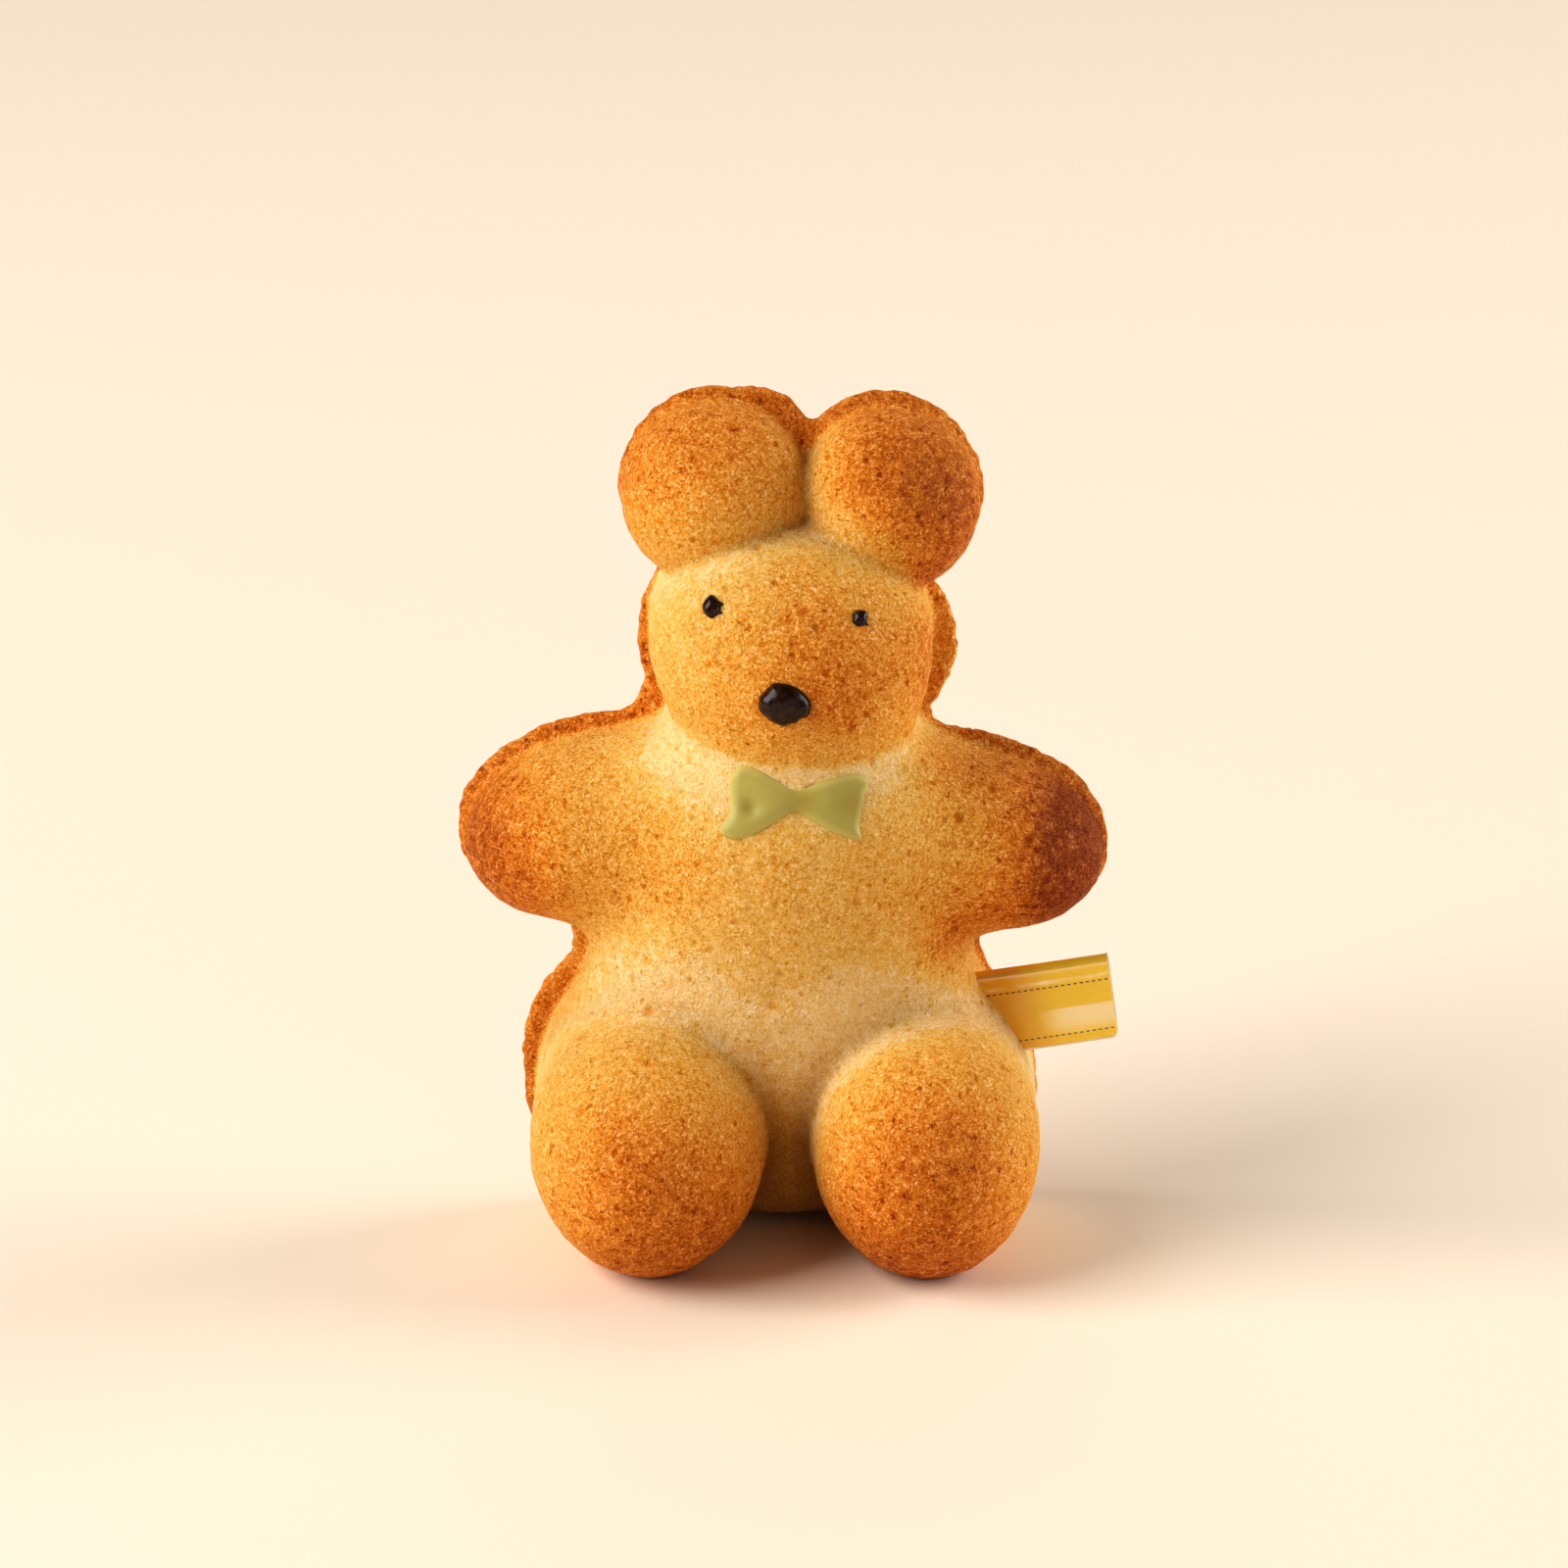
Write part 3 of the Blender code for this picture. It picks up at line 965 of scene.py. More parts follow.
PARTS = {
    "trunk": Part(
        ("chest", "belly", "hips", "arm_left", "arm_right"),
        {"head": 0.40, "leg_left": 0.10, "leg_right": 0.10},
        0.29,
        (
            BrownSpot((-38.0, 6.0, 49.0), 12.0, 0.74),  # the left hand
            BrownSpot((-29.5, 0.0, 43.5), 8.0, 0.34),
            BrownSpot((37.5, 6.0, 46.0), 12.5, 0.55),  # the right hand
            BrownSpot((34.0, 7.0, 49.0), 14.0, 0.52),
            BrownSpot((28.0, -0.5, 43.0), 7.5, 0.22),
            BrownSpot((39.5, 3.0, 45.5), 8.0, 1.00),
            # painted shade under the right arm, not browning
            BrownSpot((18.6, -2.0, 37.8), 4.4, 0.42),  # the right armpit
            BrownSpot((17.5, 2.0, 59.5), 5.5, 0.30),  # beside the neck
            BrownSpot((-12.5, -2.0, 46.0), 9.0, 0.43),  # the chest
            BrownSpot((13.0, -2.0, 42.5), 7.0, 0.13),
            BrownSpot((11.5, -5.5, 27.0), 10.0, -0.54),  # over the right thigh
            BrownSpot((-11.5, -2.0, 36.5), 12.5, -0.40),  # over the left thigh
            BrownSpot((-7.0, -2.0, 65.0), 12.0, -0.40),  # the neck
        ),
    ),
    "head": Part(
        ("skull", "muzzle"),
        {"ear_left": 0.25, "ear_right": 0.25},
        0.25,
        (
            BrownSpot((6.0, -8.0, 69.5), 6.0, 0.35),
            BrownSpot((-1.0, -10.0, 70.0), 8.5, 0.27),
            BrownSpot((3.5, -7.0, 80.5), 6.5, 0.26),  # the forehead
            BrownSpot((20.0, 1.0, 73.0), 12.0, 0.55),  # the right cheek
            BrownSpot((9.6, -2.5, 79.2), 2.0, 0.30),  # round the right eye
        ),
    ),
    "ear_left": Part(
        ("ear_left",),
        {"head": 0.23, "ear_right": 0.23},
        0.44,
        (BrownSpot((-5.5, 2.5, 100.0), 13.5, 0.27), BrownSpot((-20.0, 9.0, 92.0), 9.0, 0.25)),
    ),
    "ear_right": Part(
        ("ear_right",),
        {"head": 0.47, "ear_left": 0.47},
        0.51,
        (
            BrownSpot((14.5, 2.0, 96.5), 14.0, 0.32),
            BrownSpot((19.0, 2.0, 84.0), 11.0, 0.38),
            # painted shade where the ear's lower edge meets the head, not browning
            BrownSpot((16.5, 3.0, 78.5), 4.5, 0.55),  # over the right temple
        ),
    ),
    "leg_left": Part(
        ("leg_left",),
        {"trunk": 0.18, "leg_right": 0.38},
        0.24,
        (BrownSpot((-13.0, -17.0, 6.0), 15.0, 0.68), BrownSpot((-16.0, -22.5, 20.0), 8.5, 0.27)),
    ),
    "leg_right": Part(
        ("leg_right",),
        {"trunk": 0.41, "leg_left": 0.41},
        0.31,
        (BrownSpot((17.5, -21.0, 20.0), 9.5, 0.36), BrownSpot((15.5, -16.0, 3.5), 14.0, 0.70)),
    ),
}


LIP_SPOTS = (
    BrownSpot((20.0, 13.0, 68.0), 8.0, -0.26),  # beside the right cheek
    BrownSpot((-25.0, 13.0, 35.0), 6.0, -0.36),  # under the left arm
)


@dataclass(frozen=True)
class Nick:
    """One larger hole in the crumb that shows from the front."""

    x: float
    z: float
    radius: float


NICKS = (
    Nick(-7.4, 74.4, 0.5), Nick(1.0, 74.6, 0.5), Nick(3.1, 57.9, 0.7), Nick(10.0, 60.6, 0.6),
    Nick(-17.0, 50.6, 0.5), Nick(20.0, 53.0, 0.7), Nick(2.9, 48.5, 0.4), Nick(8.2, 45.0, 0.4),
    Nick(-0.8, 45.1, 0.4), Nick(-0.4, 36.2, 0.5), Nick(-3.0, 84.5, 0.6), Nick(0.1, 92.7, 0.5),
    Nick(24.6, 58.6, 0.7), Nick(-4.6, 77.5, 0.4), Nick(3.6, 77.4, 0.5), Nick(4.8, 72.3, 0.4),
    Nick(23.9, 55.0, 0.6), Nick(28.0, 49.7, 0.6), Nick(30.8, 49.4, 0.5), Nick(-9.9, 12.3, 0.5),
    Nick(-15.9, 25.4, 0.5), Nick(-15.5, 27.4, 0.5), Nick(-15.7, 30.4, 0.6),
)


@dataclass(frozen=True)
class CakeBody:
    """The baked body, with its crumb in relief.

    Attributes:
        shape: the mould's shape.
        limits: the lowest and highest corners that the crumb may reach.
        step: the spacing of the samples that the surface is drawn from.
        triangles: how many triangles the finished mesh keeps.
        valley_width: how far from a valley the crumb stays paler.
        lip_tone: how brown the lip and the back are.
        dark: the tone above which the crumb browns more slowly, and the share that it does.
        mingling: over what distance the tones of two parts mingle.
        lumps: the crumb's unevenness.
        patches: how unevenly it browns.
        pores: the pits strewn through the crumb.
        pit_depth: how deep they are cut, as a share of their own depth.
        nick_lift: how far before the mould's face a nick's middle lies.
        nick_shape: how far a nick is stretched along X, Y and Z.
        calm: how much smoother the valleys are, and how wide that is.
        lip_share: how much of its tone the lip takes, and the crumb close to it.
        painted_shade: how dark the painted shade is in a crease, at a leg's edge, more so where that
            is
        between the legs, and between them but away from both.
    """

    shape: MouldShape
    limits: Array
    step: float = 0.36
    triangles: int = 190000
    valley_width: float = 5.7
    lip_tone: float = 0.86
    dark: tuple[float, float] = (0.70, 0.55)
    mingling: float = 0.45
    lumps: Lumps = ((6.0, 0.16, 11), (2.2, 0.09, 12), (0.95, 0.07, 13))
    patches: Lumps = ((5.0, 0.04, 31),)
    pores: tuple[Pores, ...] = (
        Pores(1.6, 0.30, 0.26, 0.50, 21),
        Pores(4.2, 0.16, 0.35, 0.65, 41),
    )
    pit_depth: float = 0.60
    nick_lift: float = 0.1
    nick_shape: tuple[float, float, float] = (1.0, 1.0, 1.25)
    calm: tuple[float, float] = (0.6, 2.5)
    lip_share: tuple[float, float] = (0.85, 0.35)
    painted_shade: tuple[float, float, float, float] = (0.26, 0.28, 0.44, 0.34)

    def draw(self) -> tuple[Array, Array]:
        """The smooth surface, as points and four-sided faces."""
        low = np.array([*LOWEST, -2 * self.step], np.float32)
        axes = [np.arange(a, b, self.step, dtype=np.float32) for a, b in zip(low, HIGHEST)]
        x, y, z = axes[0][:, None, None], axes[1][None, :, None], axes[2][None, None, :]
        return draw_level(self.shape.distance(x, y, z), low.astype(float), self.step)

    def reaches(self, points: Array) -> dict[str, Array]:
        """How far each place lies outside each part of the body."""
        lobes = {lobe.name: self.shape.lobe(lobe, *points.T) for lobe in LOBES}
        return {
            name: np.minimum.reduce([lobes[lobe] for lobe in part.lobes])
            for name, part in PARTS.items()
        }

    def crease(self, points: Array, reach: float) -> Array:
        """How near each place is to a valley between two parts, from 0 to 1, by its second part."""
        return bell(np.sort(list(self.reaches(points).values()), axis=0)[1], reach)

    def pits(self, points: Array) -> Array:
        """How deep the pits and nicks are at each place, in millimetres."""
        deepest = np.zeros(len(points))
        for pores in self.pores:
            deepest = np.maximum(deepest, pores.depth(points))
        across, up = np.array([(nick.x, nick.z) for nick in NICKS]).T
        centres = np.stack([across, self.shape.front(across, up) - self.nick_lift, up], axis=1)
        for centre, nick in zip(centres, NICKS):
            away = (((points - centre) / self.nick_shape) ** 2).sum(axis=1)
            deepest = np.maximum(deepest, np.sqrt(np.maximum(nick.radius**2 - away, 0.0)))
        return deepest

    def roughen(self, points: Array) -> Array:
        """The smooth surface's points, moved out and in by the lumps and pits of the crumb.

        Args:
            points: the smooth surface, one point a row.

        Returns:
            The uneven surface.
        """
        outward = self.shape.slope(points)
        share, reach = self.calm
        height = uneven(points, self.lumps) - self.pit_depth * self.pits(points)
        height *= 1.0 - share * self.crease(points, reach)
        resting = points[:, 2] < 0.3
        moved = points + outward * height[:, None]
        moved[:, 2] = np.where(resting, points[:, 2], moved[:, 2])
        return np.clip(moved, *self.limits)

    def browning(self, points: Array) -> Array:
        """How brown each place is, from 0, pale cream, to 1, dark brown.

        Each part has its own tone, less in its valleys and more or less at its spots. A place takes
        the tones of the parts nearest to it, by exp(-distance / mingling), and then the lip's.

        Args:
            points: places on the surface, one a row.

        Returns:
            One tone for each place.
        """
        reaches = self.reaches(points)
        nearest = np.minimum.reduce(list(reaches.values()))
        total, shares = np.zeros(len(points)), np.zeros(len(points))
        for name, part in PARTS.items():
            fades = {
                other: paler * bell(np.maximum(reaches[other], 0.0), self.valley_width)
                for other, paler in part.valleys.items()
            }
            tone = part.tone - np.maximum.reduce(list(fades.values()))
            for spot in part.spots:
                tone = tone + spot.at(points)
            share = np.exp((nearest - reaches[name]) / self.mingling)
            total += share * tone
            shares += share
        tone = total / shares
        crust = self.lip_tone + sum(spot.at(points) for spot in LIP_SPOTS)
        front = self.shape.lip_front
        on_lip = np.maximum(
            rise(self.shape.body(*points.T), 0.0, 0.4), rise(points[:, 1], front + 1.3, front + 1.8)
        )
        near_back = rise(points[:, 1], front - 1.2, front)
        full, close = self.lip_share
        tone += full * near_back * np.maximum(on_lip, close) * (crust - tone)
        tone += uneven(points, self.patches)
        dark, slow = self.dark
        return np.clip(np.minimum(tone, dark) + slow * np.maximum(tone - dark, 0.0), 0.0, 1.0)

    def shade(self, points: Array) -> Array:
        """How dark the painted shade is in the creases and between the legs, from 0 to 1."""
        crease, edge, inner, apart = self.painted_shade
        reaches = self.reaches(points)
        legs = np.minimum(reaches["leg_left"], reaches["leg_right"])
        at_edge = bell(np.maximum(legs, 0.0), 3.2) * rise(legs, 0.0, 0.4)
        middle = bell(points[:, 0], 6.5) * rise(points[:, 2], 31.0, 14.0)
        # painted shade at the legs' edges and between the legs, none on the right flank
        low = (edge + inner * middle) * at_edge + apart * middle * (legs > 0.4)
        low *= rise(points[:, 0], 20.0, 14.0)
        # painted shade along every valley between two parts, towards the front
        creases = crease * self.crease(points, 0.9) * rise(points[:, 1], 8.0, 4.0)
        return np.clip(np.maximum(low, creases), 0.0, 1.0)

    def build(self) -> bpy.types.Object:
        """Draws, roughens, thins and dresses the body."""
        points, faces = self.draw()
        mesh = make_mesh("cake", self.roughen(points), faces)
        holder = put("cake_surface", mesh)
        thin = holder.modifiers.new("thin", "DECIMATE")
        thin.ratio = min(1.0, self.triangles / (2 * len(faces)))
        graph = bpy.context.evaluated_depsgraph_get()
        finished = bpy.data.meshes.new_from_object(holder.evaluated_get(graph))
        bpy.data.objects.remove(holder)
        flat = np.empty(len(finished.vertices) * 3)
        finished.vertices.foreach_get("co", flat)
        places = flat.reshape(-1, 3) / MM + MIDDLE
        set_attribute(finished, "browning", self.browning(places))
        set_attribute(finished, "shade", self.shade(places))
        set_attribute(finished, "pore", rise(self.pits(places), 0.0, self.pores[0].largest))
        return show("cake", finished, BakedCrumb().make())


@dataclass(frozen=True)
class Hollow:
    """A soft dimple in a drop's face, or a mound where its depth is below zero."""

    x: float
    z: float
    reach: float
    depth: float


@dataclass(frozen=True)
class Swirl:
    """The spiral ridge that a piping nozzle leaves: its middle, spacing, height and reach."""

    x: float
    z: float
    spacing: float
    height: float
    reach: float


@dataclass(frozen=True)
class SoftDrop:
    """A drop of chocolate or icing set on the cake, rounded up from an edge drawn from the front.

    Attributes:
        name: the CAD node it stands for.
        edge: points along its edge, X and Z, in order round it.
        thickness: how far it stands out of the cake.
        rounding: how far inside its edge it still rises.
        step: the spacing of the samples that it is drawn from.
        hollows: its dimples and mounds.
        swirl: its piped ridge, if it has one.
        softening: how often the distance to its edge is smoothed.
        sunk: how far its back lies inside the cake.
        slot: its finish; not used.
    """

    name: str
    edge: tuple[tuple[float, float], ...]
    thickness: float
    rounding: float
    step: float
    hollows: tuple[Hollow, ...] = ()
    swirl: Swirl | None = None
    softening: int = 3
    sunk: float = 0.25
    slot: Slot = Slot.CHOCOLATE

    def edge_line(self, steps: int = 6) -> Array:
        """The edge's points joined by Catmull-Rom curves."""
        b = np.array(self.edge)
        a, c, d = (np.roll(b, shift, axis=0) for shift in (1, -1, -2))
        part = (np.arange(steps) / steps)[:, None, None]
        bend = 2 * a - 5 * b + 4 * c - d + part * (3 * (b - c) + d - a)
        curve = b + 0.5 * part * (c - a + part * bend)
        return curve.transpose(1, 0, 2).reshape(-1, 2)

    def inward(self, x: Array, z: Array) -> Array:
        """How far places on a grid lie inside the edge, below zero outside, slightly smoothed.

        A place is inside where a line from it crosses the edge an odd number of times.

        Args:
            x: the grid's places across, indexed by column.
            z: the grid's places up, indexed by row.

        Returns:
            The distances, indexed by column and row.
        """
        line = self.edge_line()
        ahead = np.roll(line, -1, axis=0) - line
        place = np.stack(np.meshgrid(x, z, indexing="ij"), axis=-1)[..., None, :] - line
        along = np.clip((place * ahead).sum(axis=-1) / (ahead**2).sum(axis=-1), 0.0, 1.0)
        away = np.linalg.norm(place - along[..., None] * ahead, axis=-1).min(axis=-1)
        level = (place[..., 1] >= 0.0) != (place[..., 1] >= ahead[:, 1])
        side = (place[..., 0] * ahead[:, 1] - place[..., 1] * ahead[:, 0]) * np.sign(ahead[:, 1])
        inside = (level & (side > 0.0)).sum(axis=-1) % 2 == 1
        distance = np.where(inside, away, -away)
        for _ in range(self.softening):
            near = sum(np.roll(distance, turn, axis) for turn in (1, -1) for axis in (0, 1))
            distance = (4.0 * distance + near) / 8.0
        return distance

    def fullness(self, x: Array, z: Array) -> Array:
        """How far the drop stands out at places well inside its edge, with its dimples and ridge."""
        high = np.full(np.broadcast(x, z).shape, self.thickness)
        for hollow in self.hollows:
            high = high - hollow.depth * bell(np.hypot(x - hollow.x, z - hollow.z), hollow.reach)
        if self.swirl is not None:
            across, up = x - self.swirl.x, z - self.swirl.z
            radius = np.hypot(across, up)
            wave = np.sin(2 * math.pi * radius / self.swirl.spacing + np.arctan2(up, across))
            shown = rise(radius, 0.0, self.swirl.spacing) * bell(radius, self.swirl.reach)
            high = high + self.swirl.height * wave * shown
        return high

    def build(self, shape: MouldShape, finish: bpy.types.Material) -> bpy.types.Object:
        """Draws the drop on a flat grid, lays it on the cake's shape and gives it its finish.

        Args:
            shape: the cake's shape.
            finish: the drop's material.

        Returns:
            The piece.
        """
        spare = 3 * self.step
        low, high = np.array(self.edge).min(axis=0) - spare, np.array(self.edge).max(axis=0) + spare
        x, z = (np.arange(low[i], high[i], self.step) for i in (0, 1))
        out = np.arange(-self.sunk - 2.5 * self.step, self.thickness * 1.3 + spare, self.step)
        distance = self.inward(x, z)
        flank = np.sqrt(1.0 - (1.0 - rise(distance, 0.0, self.rounding)) ** 2)
        high = (self.fullness(x[:, None], z[None, :]) + self.sunk) * flank
        top = high + np.minimum(distance, 0.0) - self.sunk
        samples = np.maximum(out[:, None] - top[:, None, :], -self.sunk - out[:, None])
        corner = np.array([low[0], out[0], low[1]])
        points, faces = draw_level(samples, corner, self.step)
        seat = np.stack([points[:, 0], shape.front(points[:, 0], points[:, 2]), points[:, 2]], axis=1)
        mesh = make_mesh(self.name, seat + shape.slope(seat) * points[:, 1:2], faces[:, ::-1])
        column, row = (np.rint((points[:, i] - corner[i]) / self.step).astype(int) for i in (0, 2))
        set_attribute(mesh, "inward", distance[column, row] / self.rounding)
        thin = 1.0 - self.fullness(points[:, 0], points[:, 2]) / self.thickness
        set_attribute(mesh, "thin", np.clip(thin, 0.0, 1.0))
        return show(self.name, mesh, finish)


@dataclass(frozen=True)
class FoldedTag:
    """A strip of glossy paper folded over at the top and stuck in the cake.

    Attributes:
        length: along the strip, hidden end included.
        height: from the fold to the two edges.
        fold: how thick the fold is.
        edges: how far apart the two edges lie at the bottom, over all.
        paper: the paper's thickness.
        corner: the radius of the outer bottom corner.
        skew: how much further out the back leaf ends than the front leaf.
        bow: how far the front leaf waves.
        sway: how far the strip's ends bend back.
        middle: the strip's middle.
        tilt: degrees, outer end up.
    """

    length: float = 21.5
    height: float = 10.4
    fold: float = 1.7
    edges: float = 0.6
    paper: float = 0.16
    corner: float = 0.9
    skew: float = 0.16
    bow: float = 0.16
    sway: float = 0.25
    middle: tuple[float, float, float] = (27.9, 5.0, 26.9)
    tilt: float = 8.5

    def section(self, inset: float, count: int = 84) -> Array:
        """The folded line across the strip, from the front edge over the fold to the back edge.

        Args:
            inset: how far inside the outer face the line runs.
            count: how many places along it to return.

        Returns:
            Y and Z of each place, about the strip's middle line.
        """
        radius = self.fold / 2 - inset
        top = self.height / 2 - self.fold / 2
        bottom = -self.height / 2
        leaf = count // 3
        up = np.linspace(0.0, 1.0, leaf, endpoint=False)
        bow = self.bow * np.sin(up * 2 * math.pi)
        spread = (self.edges / 2 - inset) * (1 - up) + radius * up
        front = np.stack([-spread - bow, bottom + (top - bottom) * up], axis=1)
        turn = np.linspace(math.pi, 0.0, count - 2 * leaf)
        over = np.stack([radius * np.cos(turn), top + radius * np.sin(turn)], axis=1)
        back = np.stack([spread, front[:, 1]], axis=1)[::-1]
        return np.concatenate([front, over, back])

    def stations(self) -> Array:
        """The places along the strip where a section stands, close together round the corner."""
        start, bend = -self.length / 2, self.length / 2 - self.corner
        turn = np.linspace(0.0, math.pi / 2, 9)
        straight = np.linspace(start, bend, 36, endpoint=False)
        return np.concatenate([straight, bend + self.corner * np.sin(turn)])

    def build(self, finish: CoatedPaper) -> bpy.types.Object:
        """Carries the section along the strip, as an outer and an inner face with four edges.

        Args:
            finish: the paper.

        Returns:
            The piece.
        """
        loop = np.concatenate([self.section(0.0), self.section(self.paper)[::-1]])
        along = self.stations()
        rows, columns = len(along), len(loop)
        past = np.clip(along - (self.length / 2 - self.corner), 0.0, self.corner)
        lift = (self.corner - np.sqrt(self.corner**2 - past**2))[:, None]
        below = rise(loop[:, 1], self.height / 2 - self.fold / 2, -self.height / 2)
        share = (along / self.length)[:, None]
        points = np.empty((rows, columns, 3))
        points[..., 0] = along[:, None] + self.skew * (loop[:, 0] / self.fold) * (share + 0.5)
        points[..., 1] = loop[:, 0] + self.sway * (2 * share) ** 2
        points[..., 2] = loop[:, 1] + lift * below
        flat = points.reshape(-1, 3)
        turn = np.array(Matrix.Rotation(-math.radians(self.tilt), 3, "Y"))
        half = columns // 2
        sides = grid_faces(rows, columns, wrap=True)
        across = np.arange(half - 1)
        strip = np.stack([across, across + 1, columns - 2 - across, columns - 1 - across], axis=1)
        end = strip + (rows - 1) * columns
        faces = np.concatenate([sides[:, ::-1], strip, end[:, ::-1]])
        mesh = make_mesh("tag", flat @ turn.T + self.middle, faces)
        self.print_map(mesh, flat)
        ends = self.length / 2 - points[..., 0] + self.skew / 2
        bottom = points[..., 2] + self.height / 2 - lift
        outer = np.arange(columns) < half
        set_attribute(mesh, "rim", np.where(outer, np.minimum(ends, bottom), 0.0).ravel())
        return show("tag", mesh, finish.make(self.length, self.height))

    def print_map(self, mesh: bpy.types.Mesh, flat: Array) -> None:
        """Maps the strip: U along it and V up it, each from 0 to 1.

        Args:
            mesh: the strip.
            flat: its points before it is tilted, about its middle.
        """
        vertex = np.empty(len(mesh.loops), np.int32)
        mesh.loops.foreach_get("vertex_index", vertex)
        u = flat[vertex, 0] / self.length + 0.5
        v = flat[vertex, 2] / self.height + 0.5
        layer = mesh.uv_layers.new(name="print")
        layer.data.foreach_set("uv", np.stack([u, v], axis=1).astype(np.float32).ravel())


# --- the studio


@dataclass(frozen=True)
class Studio:
    """A plain pale floor, soft light from the upper left, and the camera.

    Attributes:
        target: the point the camera looks at, on the model's axes.
        distance: from the camera to the target, in millimetres.
        elevation: how far the camera looks down, in degrees.
        scale: pixels to the millimetre at the target, in the photograph's frame.
        frame_width: the photograph's width in pixels.
        sensor: the camera's sensor width in millimetres.
        floor_size: in metres.
        floor_colour: a warm off-white.
        aim: how high up the lights point, in metres.
        sky: the colour of the faint light from all round.
        sky_strength: how bright that is.
    """

    target: tuple[float, float, float] = (0.0, 0.0, 56.1)
    distance: float = 650.0
    elevation: float = 18.0
    scale: float = 8.9
    frame_width: float = 1600.0
    sensor: float = 36.0
    floor_size: float = 8.0
    floor_colour: Colour = (0.95, 0.80, 0.63)
    aim: float = 0.045
    sky: Colour = (1.0, 0.956, 0.905)
    sky_strength: float = 0.07

    def build(self) -> None:
        """Adds the floor, the lights and the camera."""
        self.add_floor()
        self.add_light("key", (-1.60, -0.54, 1.20), 1.6, 50.0)
        self.add_light("front", (0.9, -1.7, 0.7), 1.4, 3.7)
        self.add_light("right", (1.80, 0.40, 0.75), 1.4, 30.5)
        self.add_light("back", (0.0, 1.6, 1.25), 1.4, 5.2)
        world = bpy.data.worlds.new("studio")
        world.use_nodes = True
        background = world.node_tree.nodes["Background"]
        background.inputs["Color"].default_value = (*self.sky, 1.0)
        background.inputs["Strength"].default_value = self.sky_strength
        scene = bpy.context.scene
        scene.world = world
        scene.view_settings.view_transform = "Standard"
        scene.view_settings.look = "Medium High Contrast"
        self.add_camera()

    def add_floor(self) -> None:
        """A large plane."""
        half = self.floor_size / 2
        mesh = bpy.data.meshes.new("floor")
        corners = [(-half, -half, 0.0), (half, -half, 0.0), (half, half, 0.0), (-half, half, 0.0)]
        mesh.from_pydata(corners, [], [(0, 1, 2, 3)])
        finish = Nodes("floor").finish(Base_Color=(*self.floor_colour, 1.0), Roughness=0.7)
        mesh.materials.append(finish)
        put("floor", mesh)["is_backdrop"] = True

    def add_light(
        self, name: str, place: tuple[float, float, float], size: float, watts: float
    ) -> None:
        """A square softbox that faces the cake's middle.

        Args:
            name: the light's name.
            place: where it stands, in metres.
            size: its side, in metres.
            watts: its power.
        """
        light = bpy.data.lights.new(name, "AREA")
        light.size = size
        light.energy = watts
        lamp = put(name, light)
        lamp.location = place
        ahead = Vector((0.0, 0.0, self.aim)) - Vector(place)
        lamp.rotation_euler = ahead.to_track_quat("-Z", "Y").to_euler()

    def add_camera(self) -> None:
        """The camera at the photograph's viewing angle."""
        down = math.radians(self.elevation)
        forward = np.array([0.0, math.cos(down), -math.sin(down)])
        data = bpy.data.cameras.new("camera")
        data.sensor_width = self.sensor
        data.lens = self.scale * self.distance / self.frame_width * self.sensor
        camera = put("camera", data)
        camera.location = to_frame(np.array(self.target) - self.distance * forward)
        camera.rotation_euler = (math.pi / 2 - down, 0.0, 0.0)
        bpy.context.scene.camera = camera


EYE_LEFT = SoftDrop(
    "eye_left",
    (
        (-8.2, 80.0), (-7.7, 79.9), (-7.3, 79.6), (-6.8, 79.35), (-7.1, 79.0), (-7.15, 78.6),
        (-6.8, 78.45), (-7.5, 78.15), (-8.1, 77.7), (-8.6, 77.75), (-9.0, 78.05), (-9.2, 78.6),
        (-8.9, 79.3),
    ),
    thickness=0.95,
    rounding=1.1,
    step=0.07,
)

EYE_RIGHT = SoftDrop(
    "eye_right",
    (
        (7.56, 78.4), (8.06, 78.65), (8.7, 78.7), (9.2, 78.45), (9.4, 77.95), (9.3, 77.45),
        (9.6, 76.9), (9.05, 77.05), (8.5, 76.95), (7.95, 77.2), (7.6, 77.65), (7.7, 78.05),
    ),
    thickness=0.85,
    rounding=0.8,
    step=0.065,
)

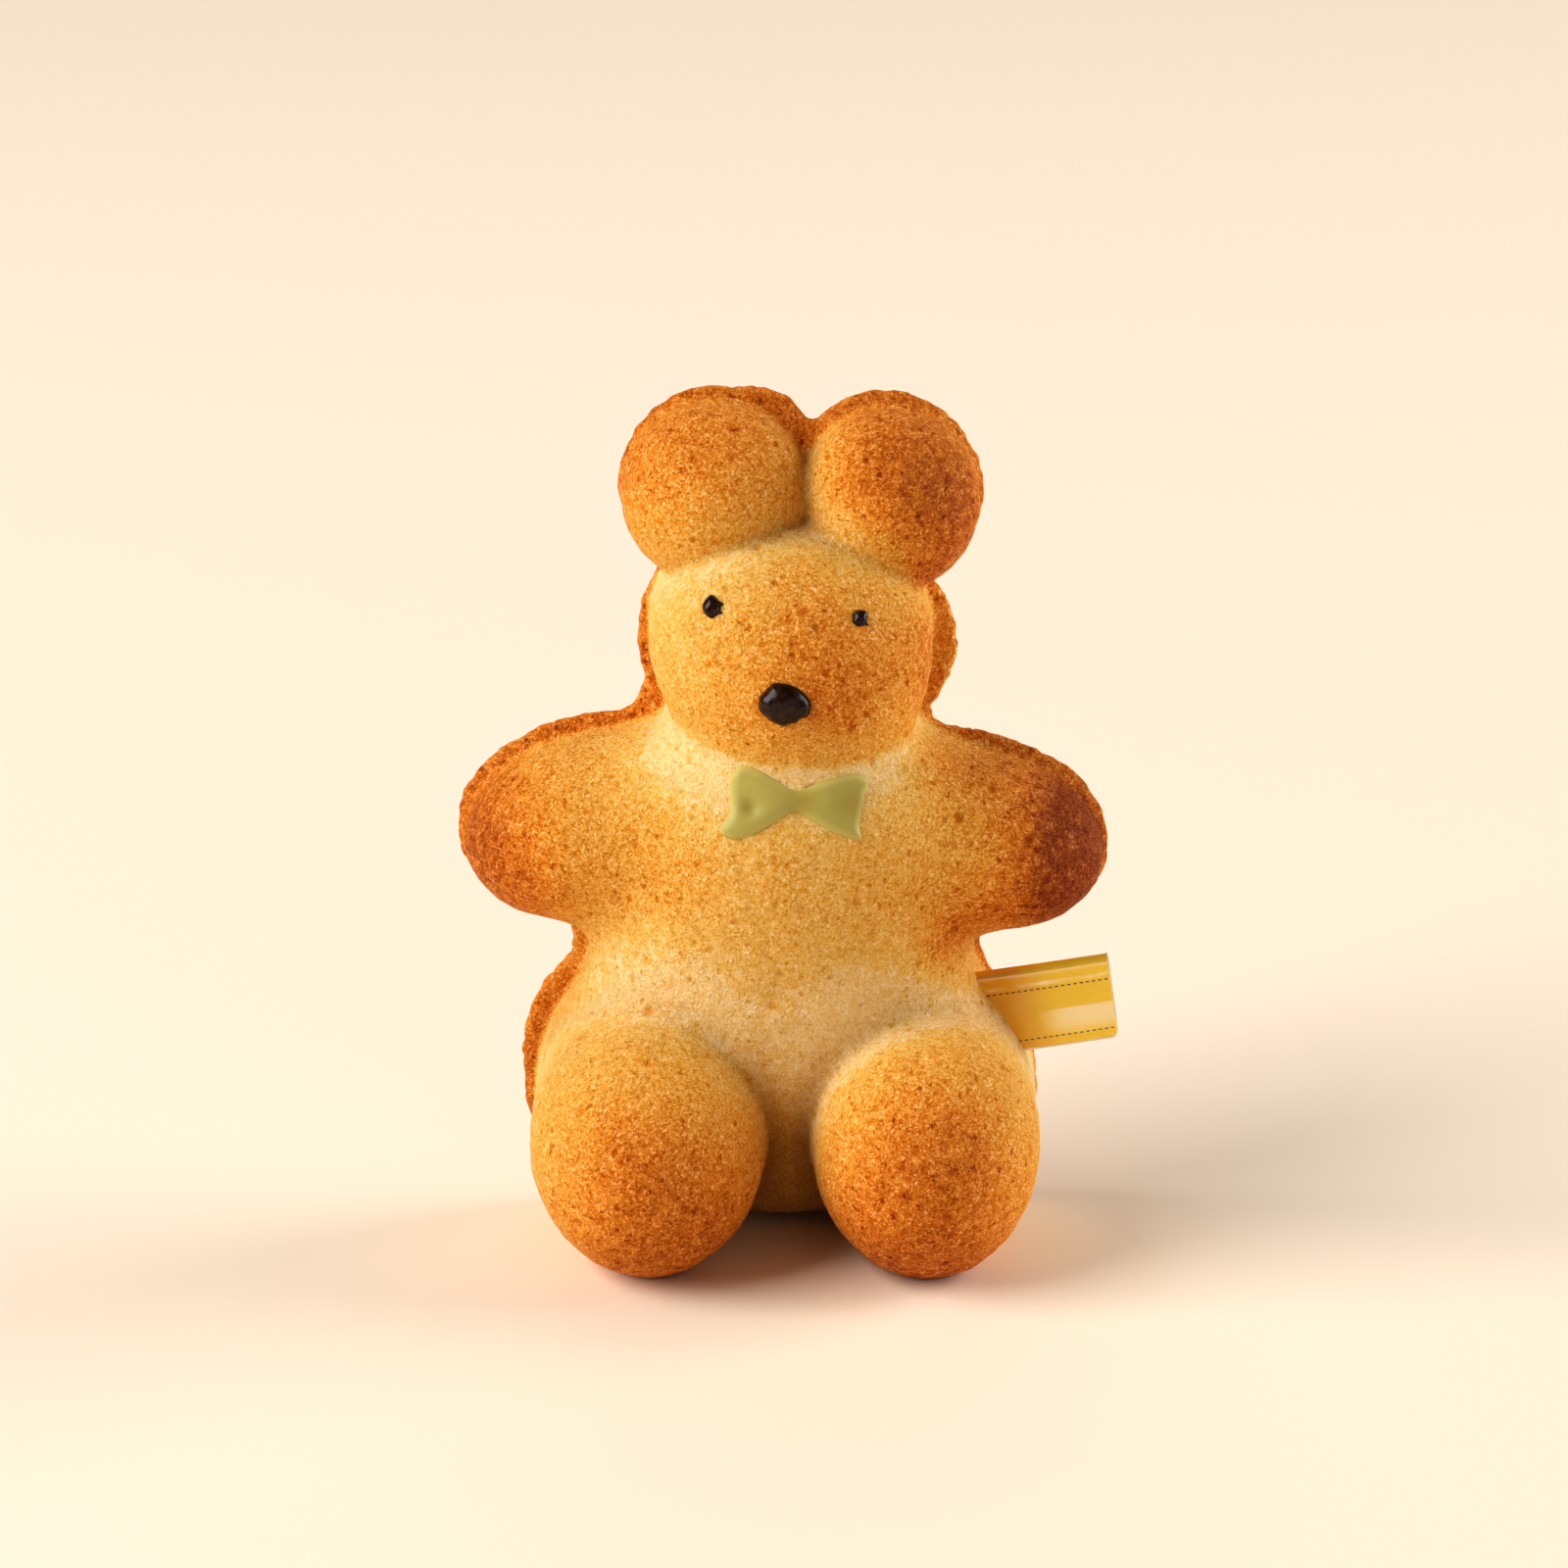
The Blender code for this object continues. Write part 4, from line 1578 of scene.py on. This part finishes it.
NOSE = SoftDrop(
    "nose",
    (
        (-2.9, 68.9), (-2.7, 69.8), (-2.1, 70.5), (-1.3, 71.3), (-0.3, 71.45), (0.8, 71.2),
        (1.9, 70.55), (2.75, 69.7), (3.05, 68.8), (2.95, 67.8), (2.5, 67.35), (1.95, 67.25),
        (1.5, 66.75), (0.8, 66.6), (0.1, 66.3), (-0.6, 66.45), (-1.45, 66.85), (-2.25, 67.5),
        (-2.8, 68.15),
    ),
    thickness=1.7,
    rounding=2.2,
    step=0.12,
    swirl=Swirl(0.7, 69.2, 0.85, 0.05, 1.9),
)

BOW_TIE = SoftDrop(
    "bow_tie",
    (
        (-6.0, 59.3), (-4.9, 60.6), (-2.8, 60.2), (-0.6, 59.0), (1.3, 58.1), (4.0, 58.9),
        (7.4, 59.6), (9.6, 58.7), (9.2, 57.0), (8.6, 53.9), (8.8, 52.2), (6.4, 52.9),
        (3.3, 54.5), (1.2, 55.5), (-0.4, 54.9), (-3.2, 53.3), (-5.7, 52.4), (-7.4, 53.3),
        (-6.2, 55.6), (-6.3, 57.7),
    ),
    thickness=0.95,
    rounding=1.5,
    step=0.14,
    hollows=(
        Hollow(1.8, 56.9, 2.2, 0.36),
        Hollow(-3.7, 56.0, 1.1, 0.40),
        Hollow(7.4, 56.0, 2.4, 0.34),
        Hollow(4.8, 56.8, 0.8, -0.12),
        Hollow(-5.3, 59.7, 0.9, -0.20),
    ),
    slot=Slot.ICING,
)


def main() -> None:
    """Builds and dresses every piece."""
    logging.basicConfig(level=logging.INFO, format="%(name)s: %(message)s", force=True)
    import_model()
    cad_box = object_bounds()
    shape = MouldShape()
    CakeBody(shape, np.array(cad_box) / MM + MIDDLE + [[HAIR], [-HAIR]]).build()
    chocolate = SetChocolate().make()
    for drop in (EYE_LEFT, EYE_RIGHT, NOSE):
        drop.build(shape, chocolate)
    BOW_TIE.build(shape, PipedIcing().make())
    FoldedTag().build(CoatedPaper())
    Studio().build()


if __name__ == "__main__":
    main()
